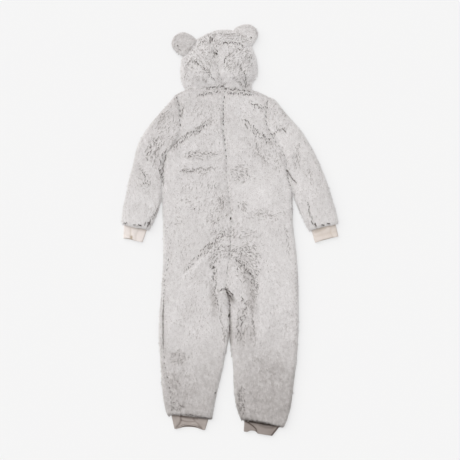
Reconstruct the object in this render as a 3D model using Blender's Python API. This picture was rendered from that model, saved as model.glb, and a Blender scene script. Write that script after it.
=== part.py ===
# Child's hooded onesie in teddy fleece, size 116, with round ears on the hood.
# It lies flat on its front with its back up: X runs across (the wearer's right is +X),
# Y runs along the body to the head, Z is up and the surface it lies on is Z = 0.
# All sizes below are in millimetres and turn into metres when a mesh is made.

import math

import bmesh
import bpy
import numpy as np
from mathutils import Vector

MM = 0.001

# Rows of the back below the underarm, and how close they come to the hem.
BACK_ROWS = 30
BACK_HEM = (0, 2, 5, 10, 18)

# Cloth: teddy fleece with its pile, and rib knit.
FLEECE_WALL = 7.0        # backing and pile of one layer
RIB_WALL = 3.0           # rib knit of one layer
LAYER_GAP = 0.3          # between two layers, and across a seam
SEAM_HEIGHT = 7.0        # height at which front and back meet at a side edge
EDGE_ROUND = 9.0         # how far in from a side edge the cloth has its full height
EDGE_LIP = 1.2           # height of one layer right at a rounded edge
BACK_CROWN = 4.5         # how much the back swells in the middle
SEAM_DIP = 2.4           # how much a seam pulls the pile down
SEAM_DIP_WIDTH = 5.0

CROTCH = -174.0          # where the centre seam ends and the legs part
UNDERARM = 208.0         # where the sleeve seam ends and the side edge starts
LEG_GAP = 1.0            # between the legs where they touch

# Outline of the body, one row per level: (y, x).
LEFT_SIDE = [(389, -153), (342, -143), (307, -140), (264, -149), (230, -171), (208, -186), (186, -191),
             (100, -192), (5, -191), (-93, -191), (-145, -194), (-202, -198), (-260, -203), (-303, -204),
             (-346, -201), (-404, -197), (-456, -194), (-490, -189), (-519, -184), (-534, -178)]
RIGHT_SIDE = [(382, 111), (354, 108), (328, 104), (299, 107), (273, 122), (244, 142), (208, 160),
              (169, 165), (132, 175), (86, 179), (14, 181), (-41, 188), (-102, 194), (-174, 197),
              (-231, 198), (-289, 197), (-346, 194), (-407, 188), (-453, 182), (-518, 173), (-548, 164),
              (-568, 155)]
CENTRE_LINE = [(407, -15), (372, -18), (294, -18), (256, -14), (215, -9), (163, -6), (120, -4), (40, 2),
               (-15, 4), (-68, 1), (-99, -5), (-130, -6), (-156, -11), (-174, -12), (-201, -3), (-236, 2),
               (-265, 4), (-300, 0), (-318, -2)]
FRONT_CENTRE = [(407, -13.3), (372, -12), (165, -4), (-42, 4), (-75, 4), (-120, -2), (-156, -10), (-174, -12),
                (-201, -3), (-236, 2), (-265, 4), (-300, 0), (-318, -2)]
LEFT_INSEAM = [(-318, -2), (-353, -12), (-398, -19), (-430, -27), (-464, -36), (-494, -42), (-545, -51)]
RIGHT_INSEAM = [(-318, -2), (-347, 4), (-386, 10), (-453, 12), (-489, 16), (-518, 21), (-545, 32)]

# Lines that run across, one row per place: (x, y).
NECK_LINE = [(-153, 389), (-128, 402), (-71, 407), (-15, 407), (21, 403), (64, 402), (93, 391), (111, 382)]
FRONT_NECK = [(-153, 389), (-128, 401), (-15, 372), (64, 401), (93, 391), (111, 382)]
LEFT_HEM = [(-178, -534), (-156, -532), (-112, -536), (-77, -542), (-51, -545)]
RIGHT_HEM = [(32, -545), (47, -550), (78, -555), (117, -562), (155, -568)]
NECK_ENDS = (-128.0, 64.0)          # the hood is sewn on between these, the shoulders go on outside them

# Sleeves: outer edge (y, x), and how far the inner edge stands off the body's side (y, clearance).
LEFT_SLEEVE = [(389, -153), (374, -166), (351, -186), (328, -207), (305, -227), (282, -244), (258, -258),
               (235, -267), (212, -273), (189, -277), (166, -284), (143, -290), (120, -294), (97, -299),
               (74, -305), (51, -308), (28, -311), (17, -309)]
LEFT_SLEEVE_CLEAR = [(389, 0.5), (230, 0.5), (208, 0.9), (150, 1.2), (112, 1.4), (92, 4), (71, 10), (42, 20),
                     (19, 30), (-4, 42)]
RIGHT_SLEEVE = [(382, 111), (379, 119), (351, 148), (328, 166), (305, 188), (282, 208), (258, 222),
                (235, 236), (212, 248), (189, 258), (166, 268), (143, 277), (120, 285), (97, 292),
                (74, 298), (51, 306), (28, 311), (18, 311)]
RIGHT_SLEEVE_CLEAR = [(382, 0.5), (230, 0.5), (208, 0.9), (165, 1.4), (125, 1.6), (105, 4), (89, 10),
                      (54, 22), (25, 34), (-2, 45)]

# Hood: outline (x, y) from the neck to the top of the centre seam, the seam, and the face opening's edge.
HOOD_LEFT_OUTLINE = [(-128, 402), (-136, 420), (-142, 443), (-142, 460), (-139, 483), (-130, 506),
                     (-114, 529), (-94, 548), (-71, 559), (-60, 566)]
HOOD_RIGHT_OUTLINE = [(64, 402), (61, 415), (68, 428), (78, 442), (81, 460), (78, 483), (73, 503),
                      (62, 529), (38, 555), (8, 571), (-22, 576), (-48, 574), (-60, 566)]
HOOD_SEAM = [(-15, 407), (-25, 420), (-28, 437), (-34, 474), (-42, 503), (-49, 529), (-53.5, 543)]
FACE_LEFT = [(-23, 374), (-60, 395), (-84, 430), (-90, 475), (-80, 515), (-56, 536)]
FACE_RIGHT = [(-7, 374), (22, 396), (36, 430), (34, 475), (10, 520), (-56, 536)]
HOOD_ROUND = 26.0        # how far in from its outline the hood has its full height
HOOD_CROWN = 15.0        # extra height of the hood's back over the flat cloth
NECK_RISE = 45.0         # the hood reaches its crown this far above the neck seam

# Ears: (name, centre x, centre y, radius).
EARS = [("left", -134.0, 535.0, 33.0), ("right", 49.0, 558.5, 33.0)]
EAR_ROUND = 12.0
EAR_HEIGHT = 7.6         # of the back layer; the front layer reaches down to the surface
EAR_CLEAR = 0.9          # between an ear's base and the hood's edge
EAR_RINGS = [1.0, 0.96, 0.88, 0.76, 0.55, 0.3]
EAR_SPOKES = 24

LEFT_WRIST = [(-309, 17), (-234, -4)]
RIGHT_WRIST = [(228, -2), (311, 18)]

# Rib-knit cuffs: name, the hem they are sewn to, x at the seam (outer, inner), (x, y) of the
# mouth's ends (outer, inner), and ribs across the upper face.
CUFFS = [
    ("cuff_left", LEFT_WRIST, -304.0, -240.0, (-306.0, -25.0), (-251.0, -36.0), 16),
    ("cuff_right", RIGHT_WRIST, 305.0, 236.0, (313.0, -19.0), (246.0, -37.0), 16),
    ("ankle_cuff_left", LEFT_HEM, -168.0, -61.0, (-159.0, -573.5), (-71.0, -577.0), 24),
    ("ankle_cuff_right", RIGHT_HEM, 144.0, 43.0, (123.0, -594.0), (41.0, -581.0), 24),
]
CUFF_HEIGHT = 9.0
RIB_DEPTH = 1.1
CUFF_SLIT = 1.5
MOUTH_LIFT = 1.6

# Front zip in its channel between the front panels (the outer side of the zip faces down).
ZIP_TOP = 366.0
ZIP_BOTTOM = -34.0
ZIP_CHANNEL = 14.0
TAPE_EDGE = 1.7          # the coil runs between the tapes' edges
TAPE_LOW, TAPE_HIGH = 4.3, 5.3
SLIDER_LENGTH = 11.0
SLIDER_WIDTH = 9.0
PULL_AXIS_HEIGHT = 1.45
PULL_THICK = 1.4
PULL_LENGTH = 28.0
PULL_WIDTH = 7.0

# Creases of the cloth: depth of the trough, height of the swell beside it, side of the swell
# (+1 is left of the line as it runs), width, and the line's points (x, y).
CREASES = [
    (3.2, 5.5, -1, 9, [(-34, 310), (-86, 296), (-132, 276), (-171, 231)]),
    (3.0, 5.0, 1, 9, [(34, 316), (66, 291), (109, 260), (140, 247)]),
    (2.0, 3.0, -1, 8, [(-127, 205), (-106, 212), (-50, 225)]),
    (2.4, 3.5, 1, 8, [(-143, 160), (-134, 172), (-94, 174), (-49, 170)]),
    (1.6, 2.6, 1, 8, [(2, 168), (48, 160), (66, 130)]),
    (3.4, 6.5, 1, 10, [(-3, -12), (-47, -39), (-77, -62), (-103, -89), (-139, -139)]),
    (3.0, 5.0, -1, 9, [(14, -95), (47, -110), (61, -145), (76, -202)]),
    (4.0, 5.0, 1, 9, [(-16, -172), (-43, -177), (-48, -202), (-31, -246)]),
    (4.0, 5.0, -1, 9, [(8, -176), (27, -205), (42, -224), (35, -254), (24, -294)]),
    (1.8, 3.0, 1, 9, [(-150, -215), (-118, -262), (-96, -330)]),
    (1.6, 2.6, -1, 9, [(150, -230), (122, -290), (110, -350)]),
    (2.0, 3.4, -1, 9, [(-60, -388), (-98, -402), (-150, -398)]),
    (2.0, 3.4, 1, 9, [(40, -404), (86, -418), (150, -408)]),
    (2.2, 3.6, 1, 8, [(-196, 269), (-215, 250), (-231, 219), (-227, 200)]),
    (2.2, 3.6, -1, 8, [(-246, 213), (-237, 157), (-227, 138)]),
    (1.8, 3.0, 1, 8, [(-290, 108), (-262, 96), (-222, 104)]),
    (2.2, 3.4, 1, 8, [(125, 269), (142, 288), (165, 279)]),
    (2.2, 3.4, -1, 8, [(193, 230), (187, 182), (178, 150)]),
    (1.8, 3.0, -1, 8, [(284, 100), (254, 88), (206, 98)]),
    (2.6, 3.6, -1, 7, [(-100, 383), (-41, 393), (2, 393), (78, 383)]),
    (3.2, 4.0, 1, 9, [(-114, 478), (-90, 479), (-67, 454), (-38, 423)]),
    (3.0, 4.0, 1, 9, [(-32, 533), (2, 536), (30, 533), (44, 520)]),
    (3.2, 4.0, 1, 9, [(11, 470), (37, 465), (50, 439), (57, 416)]),
]

# Low swells of the laid cloth: height, length along x, length along y, shift.
SWELLS = [(1.3, 150.0, 210.0, 0.4), (1.0, 96.0, 130.0, 2.1), (0.7, 61.0, 83.0, 4.0)]

# Colours (linear), roughness and metallic value.
FINISHES = {
    "fleece": ((0.60, 0.575, 0.565), 0.95, 0.0),
    "cream_rib": ((0.70, 0.65, 0.61), 0.9, 0.0),
    "taupe_rib": ((0.40, 0.35, 0.32), 0.9, 0.0),
    "zip_tape": ((0.55, 0.53, 0.52), 0.85, 0.0),
    "zip_metal": ((0.55, 0.55, 0.56), 0.35, 1.0),
}


# ---- curves and surfaces -------------------------------------------------------------------

def curve_of(rows):
    # A smooth curve through (key, value) rows, as a function of the key.
    keys = np.array([row[0] for row in rows], float)
    values = np.array([row[1] for row in rows], float)
    if keys[0] > keys[-1]:
        keys, values = keys[::-1], values[::-1]
    slopes = np.gradient(values, keys)

    def value(key):
        key = min(max(key, keys[0]), keys[-1])
        i = min(int(np.searchsorted(keys, key, side="right")) - 1, len(keys) - 2)
        step = keys[i + 1] - keys[i]
        t = (key - keys[i]) / step
        return ((2 * t**3 - 3 * t**2 + 1) * values[i] + (t**3 - 2 * t**2 + t) * step * slopes[i]
                + (3 * t**2 - 2 * t**3) * values[i + 1] + (t**3 - t**2) * step * slopes[i + 1])

    return value


def line_of(rows):
    # Straight lines through (key, value) rows.
    keys = [row[0] for row in rows]
    values = [row[1] for row in rows]
    return lambda key: float(np.interp(key, keys, values))


def path_of(points):
    # A smooth path through points, as a function of the share of its length.
    places = np.array(points, float)
    reach = np.concatenate([[0.0], np.cumsum(np.linalg.norm(np.diff(places, axis=0), axis=1))])
    across = curve_of(list(zip(reach, places[:, 0])))
    along = curve_of(list(zip(reach, places[:, 1])))
    return lambda share: np.array([across(share * reach[-1]), along(share * reach[-1])])


def ease(low, high, value):
    # Goes smoothly from 0 at low to 1 at high.
    t = min(max((value - low) / (high - low), 0.0), 1.0)
    return t * t * (3 - 2 * t)


def spaced(length, at_start, between, at_end):
    # Distances along a length: close together at both ends, even in between.
    first, last = at_start[-1], length - at_end[-1]
    middle = [first + (last - first) * k / (between + 1) for k in range(1, between + 1)]
    return list(at_start) + middle + [length - d for d in reversed(at_end)]


def rounded(distance, radius, lip):
    # Share of the full height at a distance from a rounded edge.
    t = min(max(distance / radius, 0.0), 1.0)
    return lip + (1 - lip) * math.sqrt(1 - (1 - t) ** 2)


def seam_dip(distance):
    return SEAM_DIP * math.exp(-(distance / SEAM_DIP_WIDTH) ** 2)


def beside(line, x, y):
    # Distance of a place from a line of points, positive on its left, and the share of the line there.
    here = np.array((x, y))
    start, run = line[:-1], np.diff(line, axis=0)
    share = np.clip(((here - start) * run).sum(axis=1) / (run * run).sum(axis=1), 0, 1)
    nearest = start + run * share[:, None]
    gaps = np.linalg.norm(nearest - here, axis=1)
    k = int(gaps.argmin())
    offset = here - nearest[k]
    turn = run[k][0] * offset[1] - run[k][1] * offset[0]
    return math.copysign(gaps[k], turn), (k + share[k]) / len(run)


def make_creases():
    # Each crease as its numbers and a fine line of points.
    lines = []
    for depth, swell, side, width, points in CREASES:
        path = path_of(points)
        fine = np.array([path(k / 14) for k in range(15)])
        lines.append((depth, swell, side, width, fine))
    return lines


CREASE_LINES = make_creases()


def crease_height(x, y):
    # Height that the creases add at a place.
    total = 0.0
    for depth, swell, side, width, line in CREASE_LINES:
        if abs(line[:, 0] - x).min() > 60 or abs(line[:, 1] - y).min() > 60:
            continue
        distance, reach = beside(line, x, y)
        fade = ease(0, 0.22, reach) * ease(0, 0.22, 1 - reach)
        trough = depth * math.exp(-(distance / (0.6 * width)) ** 2)
        ridge = swell * math.exp(-((distance - side * 1.5 * width) / (1.15 * width)) ** 2)
        total += (ridge - trough) * (0.25 + 0.75 * fade) * math.exp(-max(0, abs(distance) - 30) / 20)
    return total


def swell_height(x, y):
    return sum(height * math.sin(math.tau * x / wide + shift) * math.sin(math.tau * y / long + 2 * shift)
               for height, wide, long, shift in SWELLS)


# ---- meshes --------------------------------------------------------------------------------

def add_strip(mesh, first, second, closed=False):
    # Faces between two equal rows of points.
    count = len(first)
    for j in range(count if closed else count - 1):
        k = (j + 1) % count
        mesh.faces.new((first[j], first[k], second[k], second[j]))


def add_rim(mesh, outer, inner, anchors):
    # Faces between a closed loop and a coarser one, whose points face the outer loop's anchors.
    count, total = len(inner), len(outer)
    for a in range(count):
        b = (a + 1) % count
        run = (anchors[b] - anchors[a]) % total
        half = run // 2
        for step in range(run):
            i = (anchors[a] + step) % total
            tip = inner[a] if step < half else inner[b]
            mesh.faces.new((outer[i], outer[(i + 1) % total], tip))
        mesh.faces.new((inner[a], inner[b], outer[(anchors[a] + half) % total]))


def split_corners(mesh, grid):
    # Cuts each corner face from its corner, which stays clean where the corner is nearly straight.
    for row, next_row in ((0, 1), (-1, -2)):
        for column, next_column in ((0, 1), (-1, -2)):
            ends = [grid[row][column], grid[next_row][next_column]]
            bmesh.ops.connect_verts(mesh, verts=ends)


def border(rows, columns):
    # The places round the edge of a grid, in order.
    first, last = 0, len(rows) - 1
    loop = [(rows[first], c) for c in columns]
    loop += [(r, columns[-1]) for r in rows[1:]]
    loop += [(rows[last], c) for c in columns[-2::-1]]
    loop += [(r, columns[0]) for r in rows[-2:0:-1]]
    return loop


def solid_from_grids(name, finish, outer, inner, rows, columns, closed):
    # A wall between a fine outer grid and a coarse inner one, which has only the given rows and columns.
    mesh = bmesh.new()
    fine = [[mesh.verts.new(Vector(p) * MM) for p in row] for row in outer]
    coarse = [[mesh.verts.new(Vector(p) * MM) for p in row] for row in inner]
    for grid in (fine, coarse):
        for first, second in zip(grid, grid[1:]):
            add_strip(mesh, first, second, closed)
        if not closed:
            split_corners(mesh, grid)
    if closed:
        for fine_end, coarse_end in ((fine[0], coarse[0]), (fine[-1], coarse[-1])):
            add_rim(mesh, fine_end, coarse_end, columns)
    else:
        all_rows, all_columns = range(len(fine)), range(len(fine[0]))
        outer_loop = border(list(all_rows), list(all_columns))
        inner_loop = border(rows, columns)
        anchors = [outer_loop.index(place) for place in inner_loop]
        add_rim(mesh, [fine[r][c] for r, c in outer_loop],
                [coarse[rows.index(r)][columns.index(c)] for r, c in inner_loop], anchors)
    bmesh.ops.recalc_face_normals(mesh, faces=mesh.faces)
    return add_object(name, finish, mesh)


def add_object(name, finish, mesh):
    data = bpy.data.meshes.new(name)
    mesh.to_mesh(data)
    mesh.free()
    data.materials.append(bpy.data.materials[finish])
    data.shade_smooth()
    data.set_sharp_from_angle(angle=math.radians(50))
    piece = bpy.data.objects.new(name, data)
    bpy.data.collections["onesie"].objects.link(piece)
    return piece


def make_materials():
    for name, (colour, roughness, metallic) in FINISHES.items():
        material = bpy.data.materials.new(name)
        material.use_nodes = True
        shader = material.node_tree.nodes["Principled BSDF"]
        shader.inputs["Base Color"].default_value = (*colour, 1)
        shader.inputs["Roughness"].default_value = roughness
        shader.inputs["Metallic"].default_value = metallic


# ---- body ----------------------------------------------------------------------------------

def thin(count, step):
    # Every step-th index, with the last one.
    kept = list(range(0, count - 1, step))
    if count - 1 - kept[-1] < step / 2 and len(kept) > 1:
        kept.pop()
    return kept + [count - 1]


def inner_line(side, centre, half_gap):
    # A centre seam, then the inside of the leg, with the gap to the other half.
    outward = -1 if side == "left" else 1
    rows = centre + (LEFT_INSEAM if side == "left" else RIGHT_INSEAM)[1:]
    line = curve_of(rows)

    def x(y):
        parted = ease(CROTCH + 12, CROTCH - 12, y)
        return line(y) + outward * (half_gap(y) * (1 - parted) + LEG_GAP / 2 * parted)

    return x


def armhole_levels(tip):
    # Heights at which the body's rows and the sleeve's columns meet along the armhole.
    return [tip - down for down in spaced(tip - UNDERARM, (0, 3, 8, 16), 5, (0, 3, 8, 16))]


def levels_of(top, hem, rows_below, at_hem):
    # Heights of the body's rows along one of its edges.
    below = spaced(UNDERARM - hem, (0,), rows_below, at_hem)[1:]
    return armhole_levels(top) + [UNDERARM - down for down in below]


def body_grid(side, centre, top_line, inner_top, half_gap, across, rows_below, at_hem):
    # Points (x, y) of a half of the front or back, with the distances to its four edges.
    side_rows = LEFT_SIDE if side == "left" else RIGHT_SIDE
    hem_rows = LEFT_HEM if side == "left" else RIGHT_HEM
    outer, hem = curve_of(side_rows), curve_of(hem_rows)
    inner = inner_line(side, centre, half_gap)
    outer_top, outer_hem = side_rows[0][0], side_rows[-1][0]
    inner_hem = LEFT_INSEAM[-1][0]
    length = inner_top - inner_hem
    outer_levels = levels_of(outer_top, outer_hem, rows_below, at_hem)
    even_levels = levels_of(inner_top, inner_hem, rows_below, at_hem)
    grid = []
    for y_out, y_in in zip(outer_levels, even_levels):
        down = inner_top - y_in
        start = np.array((inner(y_in), y_in))
        run = np.array((outer(y_out), y_out)) - start
        width = float(np.linalg.norm(run))
        row = []
        for off in across(width):
            x, y = start + run * off / width
            first = np.array((inner(inner_top), inner_top))
            last = np.array((outer(outer_top), outer_top))
            level = (first + (last - first) * off / width)
            y += (top_line(level[0]) - level[1]) * (1 - min(down / 130, 1)) ** 2
            first = np.array((inner(inner_hem), inner_hem))
            last = np.array((outer(outer_hem), outer_hem))
            level = (first + (last - first) * off / width)
            y += (hem(level[0]) - level[1]) * (1 - min((length - down) / 70, 1)) ** 2
            row.append((x, y, off, width - off, down, length - down))
        grid.append(row)
    return grid


def body_height(x, y, to_inner, to_outer, to_top, to_hem):
    # Height of the back's upper face over the level where the layers meet.
    leg = ease(CROTCH + 25, CROTCH - 30, y)
    side = ease(UNDERARM + 14, UNDERARM - 14, y)
    shoulder = max(ease(NECK_ENDS[0] + 8, NECK_ENDS[0] - 8, x), ease(NECK_ENDS[1] - 8, NECK_ENDS[1] + 8, x))
    edge = min(80.0, to_outer + 80 * (1 - side))
    edge = min(edge, to_inner + 80 * (1 - leg), to_top + 80 * (1 - shoulder))
    swell = 1 - (1 - min(edge / 70, 1)) ** 2
    height = FLEECE_WALL + 0.5 + BACK_CROWN * swell
    height += (crease_height(x, y) + swell_height(x, y)) * ease(0, 16, edge)
    lip = EDGE_LIP / height
    height *= 1 - side * (1 - rounded(to_outer, EDGE_ROUND, lip))
    height *= 1 - leg * (1 - rounded(to_inner, EDGE_ROUND, lip))
    height *= 1 - shoulder * (1 - rounded(to_top, EDGE_ROUND, lip))
    height *= rounded(to_hem, 9.0, 0.62)
    height -= seam_dip(to_inner) * (1 - leg) + seam_dip(to_outer) * (1 - side)
    height -= seam_dip(to_top) * (1 - shoulder)
    return max(height, EDGE_LIP)


def lowest_near(heights, row, column, reach):
    # Lowest value of the grid round a place.
    rows = slice(max(0, row - reach), row + reach + 1)
    columns = slice(max(0, column - reach), column + reach + 1)
    return heights[rows, columns].min()


def make_back(side):
    floor = SEAM_HEIGHT + LAYER_GAP / 2
    grid = body_grid(side, CENTRE_LINE, curve_of(NECK_LINE), 407, lambda y: LAYER_GAP / 2,
                     lambda width: spaced(width, (0, 3, 8), 7, (0, 1.5, 4, 8, 15)), BACK_ROWS, BACK_HEM)
    heights = np.array([[body_height(*place) for place in row] for row in grid])
    outer = [[(p[0], p[1], floor + h) for p, h in zip(row, line)] for row, line in zip(grid, heights)]
    rows, columns = list(range(len(grid))), thin(len(grid[0]), 2)
    inner = []
    for r in rows:
        lifts = [max(0.0, lowest_near(heights, r, c, 3) - FLEECE_WALL) for c in columns]
        inner.append([(*grid[r][c][:2], floor + lift) for c, lift in zip(columns, lifts)])
    return solid_from_grids("back_" + side, "fleece", outer, inner, rows, columns, False)


def make_front(side):
    # Lies on the surface: flat below, rounded up to the side and leg edges.
    ceiling = SEAM_HEIGHT - LAYER_GAP / 2

    def half_gap(y):
        return LAYER_GAP / 2 + (ZIP_CHANNEL - LAYER_GAP) / 2 * ease(ZIP_BOTTOM - 34, ZIP_BOTTOM - 6, y)

    grid = body_grid(side, FRONT_CENTRE, line_of(FRONT_NECK), 372, half_gap,
                     lambda width: spaced(width, (0, 8), 5, (0, 1.5, 4, 9)), 20, (0, 3, 9))
    outer = []
    for row in grid:
        line = []
        for x, y, to_inner, to_outer, to_top, to_hem in row:
            leg = ease(CROTCH + 25, CROTCH - 30, y)
            under = ease(UNDERARM + 14, UNDERARM - 14, y)
            lip = EDGE_LIP / ceiling
            depth = ceiling * (1 - under * (1 - rounded(to_outer, 9, lip)))
            depth *= 1 - leg * (1 - rounded(to_inner, 8, lip))
            depth *= rounded(to_hem, 9, 0.6)
            line.append((x, y, ceiling - depth))
        outer.append(line)
    rows, columns = list(range(len(grid))), thin(len(grid[0]), 2)
    inner = [[(*grid[r][c][:2], ceiling) for c in columns] for r in rows]
    return solid_from_grids("front_" + side, "fleece", outer, inner, rows, columns, False)


# ---- sleeves -------------------------------------------------------------------------------

def make_sleeve(side):
    # One piece, folded at its outer edge: the columns run over the upper layer from the armhole and
    # the underarm seam to the fold, and back under the lower layer.
    outward = -1 if side == "left" else 1
    side_rows = LEFT_SIDE if side == "left" else RIGHT_SIDE
    sleeve_rows = LEFT_SLEEVE if side == "left" else RIGHT_SLEEVE
    clear_rows = LEFT_SLEEVE_CLEAR if side == "left" else RIGHT_SLEEVE_CLEAR
    body_side, top_edge, clear = curve_of(side_rows), curve_of(sleeve_rows), curve_of(clear_rows)
    tip, top_end, low_end = sleeve_rows[0][0], sleeve_rows[-1][0], clear_rows[-1][0]
    levels = [y for y in levels_of(tip, side_rows[-1][0], BACK_ROWS, BACK_HEM) if low_end + 20 < y < tip - 4]
    levels = [tip - 4] + levels + [low_end + up for up in (12, 6, 2, 0)]
    grid, outer, inner = [], [], []
    for y_low in levels:
        y_top = tip + (top_end - tip) * ((tip - y_low) / (tip - low_end)) ** 1.15
        start = np.array((body_side(y_low) + outward * clear(y_low), y_low))
        run = np.array((top_edge(y_top), y_top)) - start
        width = float(np.linalg.norm(run))
        close = min(1, width / 70)
        offs = spaced(width, [d * close for d in (0, 2.5, 7)], 4, [d * close for d in (0, 1.5, 4, 9)])
        grid.append([(*(start + run * off / width), off, width - off, y_low) for off in offs])

    def layer_shape(to_seam, to_fold, y_low):
        # Share of full height at a place, and how far it is from the nearest rounded edge.
        free = ease(UNDERARM + 14, UNDERARM - 14, y_low)
        edge = min(80.0, to_fold, to_seam + 80 * (1 - free))
        share = rounded(to_fold, EDGE_ROUND, 0) * (1 - free * (1 - rounded(to_seam, EDGE_ROUND, 0.16)))
        return share * rounded(y_low - low_end, 9.0, 0.62), edge, 1 - free

    heights = []
    for row in grid:
        line = []
        for x, y, to_seam, to_fold, y_low in row:
            share, edge, sewn = layer_shape(to_seam, to_fold, y_low)
            height = FLEECE_WALL + 0.5 + BACK_CROWN * (1 - (1 - min(edge / 45, 1)) ** 2)
            height += (crease_height(x, y) + swell_height(x, y)) * ease(0, 16, edge)
            line.append(max(height * share - seam_dip(to_seam) * sewn * ease(0, 8, to_fold), 0))
        heights.append(line)
    heights = np.array(heights)
    fold = len(grid[0]) - 1
    columns = [0, 3, 5, 7]
    for r, row in enumerate(grid):
        upper, lower = [], []
        for (x, y, to_seam, to_fold, y_low), height in zip(row, heights[r]):
            part = min(1, to_fold / 4)
            share = layer_shape(to_seam, to_fold, y_low)[0]
            upper.append((x, y, SEAM_HEIGHT + LAYER_GAP / 2 * part + height))
            lower.append((x, y, (SEAM_HEIGHT - LAYER_GAP / 2 * part) * (1 - share)))
        outer.append(upper + lower[-2::-1])
        lifts = [max(0.0, lowest_near(heights[:, :fold - 1], r, c, 2) - FLEECE_WALL) for c in columns]
        inset = 6.5 * min(1, row[0][3] / 70)
        x, y = np.array(row[-1][:2]) + (np.array(row[0][:2]) - np.array(row[-1][:2])) * inset / row[0][3]
        upper = [(*row[c][:2], SEAM_HEIGHT + LAYER_GAP / 2 + lift) for c, lift in zip(columns, lifts)]
        lower = [(*row[c][:2], SEAM_HEIGHT - LAYER_GAP / 2) for c in reversed(columns)]
        inner.append(upper + [(x, y, SEAM_HEIGHT)] + lower)
    columns = columns + [fold] + [2 * fold - c for c in reversed(columns)]
    rows = list(range(len(grid)))
    return solid_from_grids("sleeve_" + side, "fleece", outer, inner, rows, columns, False)


# ---- hood ----------------------------------------------------------------------------------

def make_hood(side):
    outward = -1 if side == "left" else 1
    outline = path_of(HOOD_LEFT_OUTLINE if side == "left" else HOOD_RIGHT_OUTLINE)
    face = path_of(FACE_LEFT if side == "left" else FACE_RIGHT)
    seam = path_of(HOOD_SEAM)
    whole_seam = np.array([seam(k / 20) for k in range(21)] + [outline(1)])
    neck = curve_of(NECK_LINE)
    front_neck = line_of(FRONT_NECK)
    shares = [d / 100 for d in spaced(100, (0, 2, 5), 13, (0, 4.5))]
    tops = [1, 0.96, 0.9, 0.78, 0.64, 0.5, 0.37, 0.26, 0.17, 0.1, 0.05, 0.018]
    lows = [0.025, 0.08, 0.2, 0.4, 0.7, 1]
    edge_column = len(tops)
    columns = [0, 3, 6, 9, edge_column, 15, 18]
    outer, inner = [], []
    for share in shares:
        off_seam = np.array((outward * LAYER_GAP / 2, 0.0))
        around = 1 - (1 - share) ** 0.7
        middle, edge, rim = seam(share) + off_seam, outline(around), face(around)
        if share > 0.999:
            edge, rim = edge + off_seam, rim + off_seam
        top_run, low_run = middle - edge, rim - edge
        width = float(np.linalg.norm(top_run))
        low_width = float(np.linalg.norm(low_run))

        def upper(part):
            x, y = edge + top_run * part
            first_x, first_y = outline(0) + (seam(0) - outline(0)) * part
            y += (neck(first_x) + 3 * LAYER_GAP - first_y) * (1 - min(share / 0.3, 1)) ** 2
            off = part * width
            above = max(y - neck(x), 0)
            swell = (1 - (1 - min(off / 75, 1)) ** 2) * ease(-12, NECK_RISE, above)
            height = FLEECE_WALL + 0.5 + 3.0 * ease(0, 60, off) + HOOD_CROWN * swell
            height += (crease_height(x, y) + swell_height(x, y)) * ease(0, 24, off)
            height *= rounded(off, min(HOOD_ROUND, 0.9 * width), 0)
            height -= (seam_dip(beside(whole_seam, x, y)[0]) + seam_dip(above)) * ease(0, 12, off)
            return x, y, SEAM_HEIGHT + max(height, 0.0)

        def lower(part):
            x, y = edge + low_run * part
            first_x, first_y = outline(0) + (face(0) - outline(0)) * part
            y += (front_neck(first_x) + 3 * LAYER_GAP - first_y) * (1 - min(share / 0.3, 1)) ** 2
            return x, y, SEAM_HEIGHT - SEAM_HEIGHT * rounded(part * low_width, EDGE_ROUND, 0)

        outer.append([upper(part) for part in tops + [0]] + [lower(part) for part in lows])
        inset, low_inset = 7.5 / width, 7.5 / low_width
        inner.append([upper(inset + (1 - inset) * tops[c]) for c in columns if c < edge_column]
                     + [(*upper(inset)[:2], SEAM_HEIGHT)]
                     + [(*lower(low_inset + (1 - low_inset) * lows[c - edge_column - 1])[:2],
                         SEAM_HEIGHT - LAYER_GAP / 2) for c in columns if c > edge_column])
    rows = list(range(len(shares)))
    heights = np.array([[place[2] for place in row[:edge_column]] for row in outer])
    hollow = []
    for r in rows:
        ceiling = [max(lowest_near(heights, r, c, 2) - FLEECE_WALL, SEAM_HEIGHT + LAYER_GAP)
                   for c in columns if c < edge_column]
        hollow.append([(x, y, z) for (x, y, _), z in zip(inner[r], ceiling)] + inner[r][len(ceiling):])
    return solid_from_grids("hood_" + side, "fleece", outer, hollow, rows, columns, False)


# ---- ears ----------------------------------------------------------------------------------

def hood_border():
    # The hood's outline as one closed line round its middle.
    left, right = path_of(HOOD_LEFT_OUTLINE), path_of(HOOD_RIGHT_OUTLINE)
    return [left(k / 30) for k in range(31)] + [right(1 - k / 30) for k in range(1, 31)]


def inside(border_points, x, y):
    # Even-odd test of a place against a closed line.
    hit = False
    for (x1, y1), (x2, y2) in zip(border_points, border_points[1:] + border_points[:1]):
        if (y1 > y) != (y2 > y) and x < x1 + (y - y1) / (y2 - y1) * (x2 - x1):
            hit = not hit
    return hit


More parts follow.
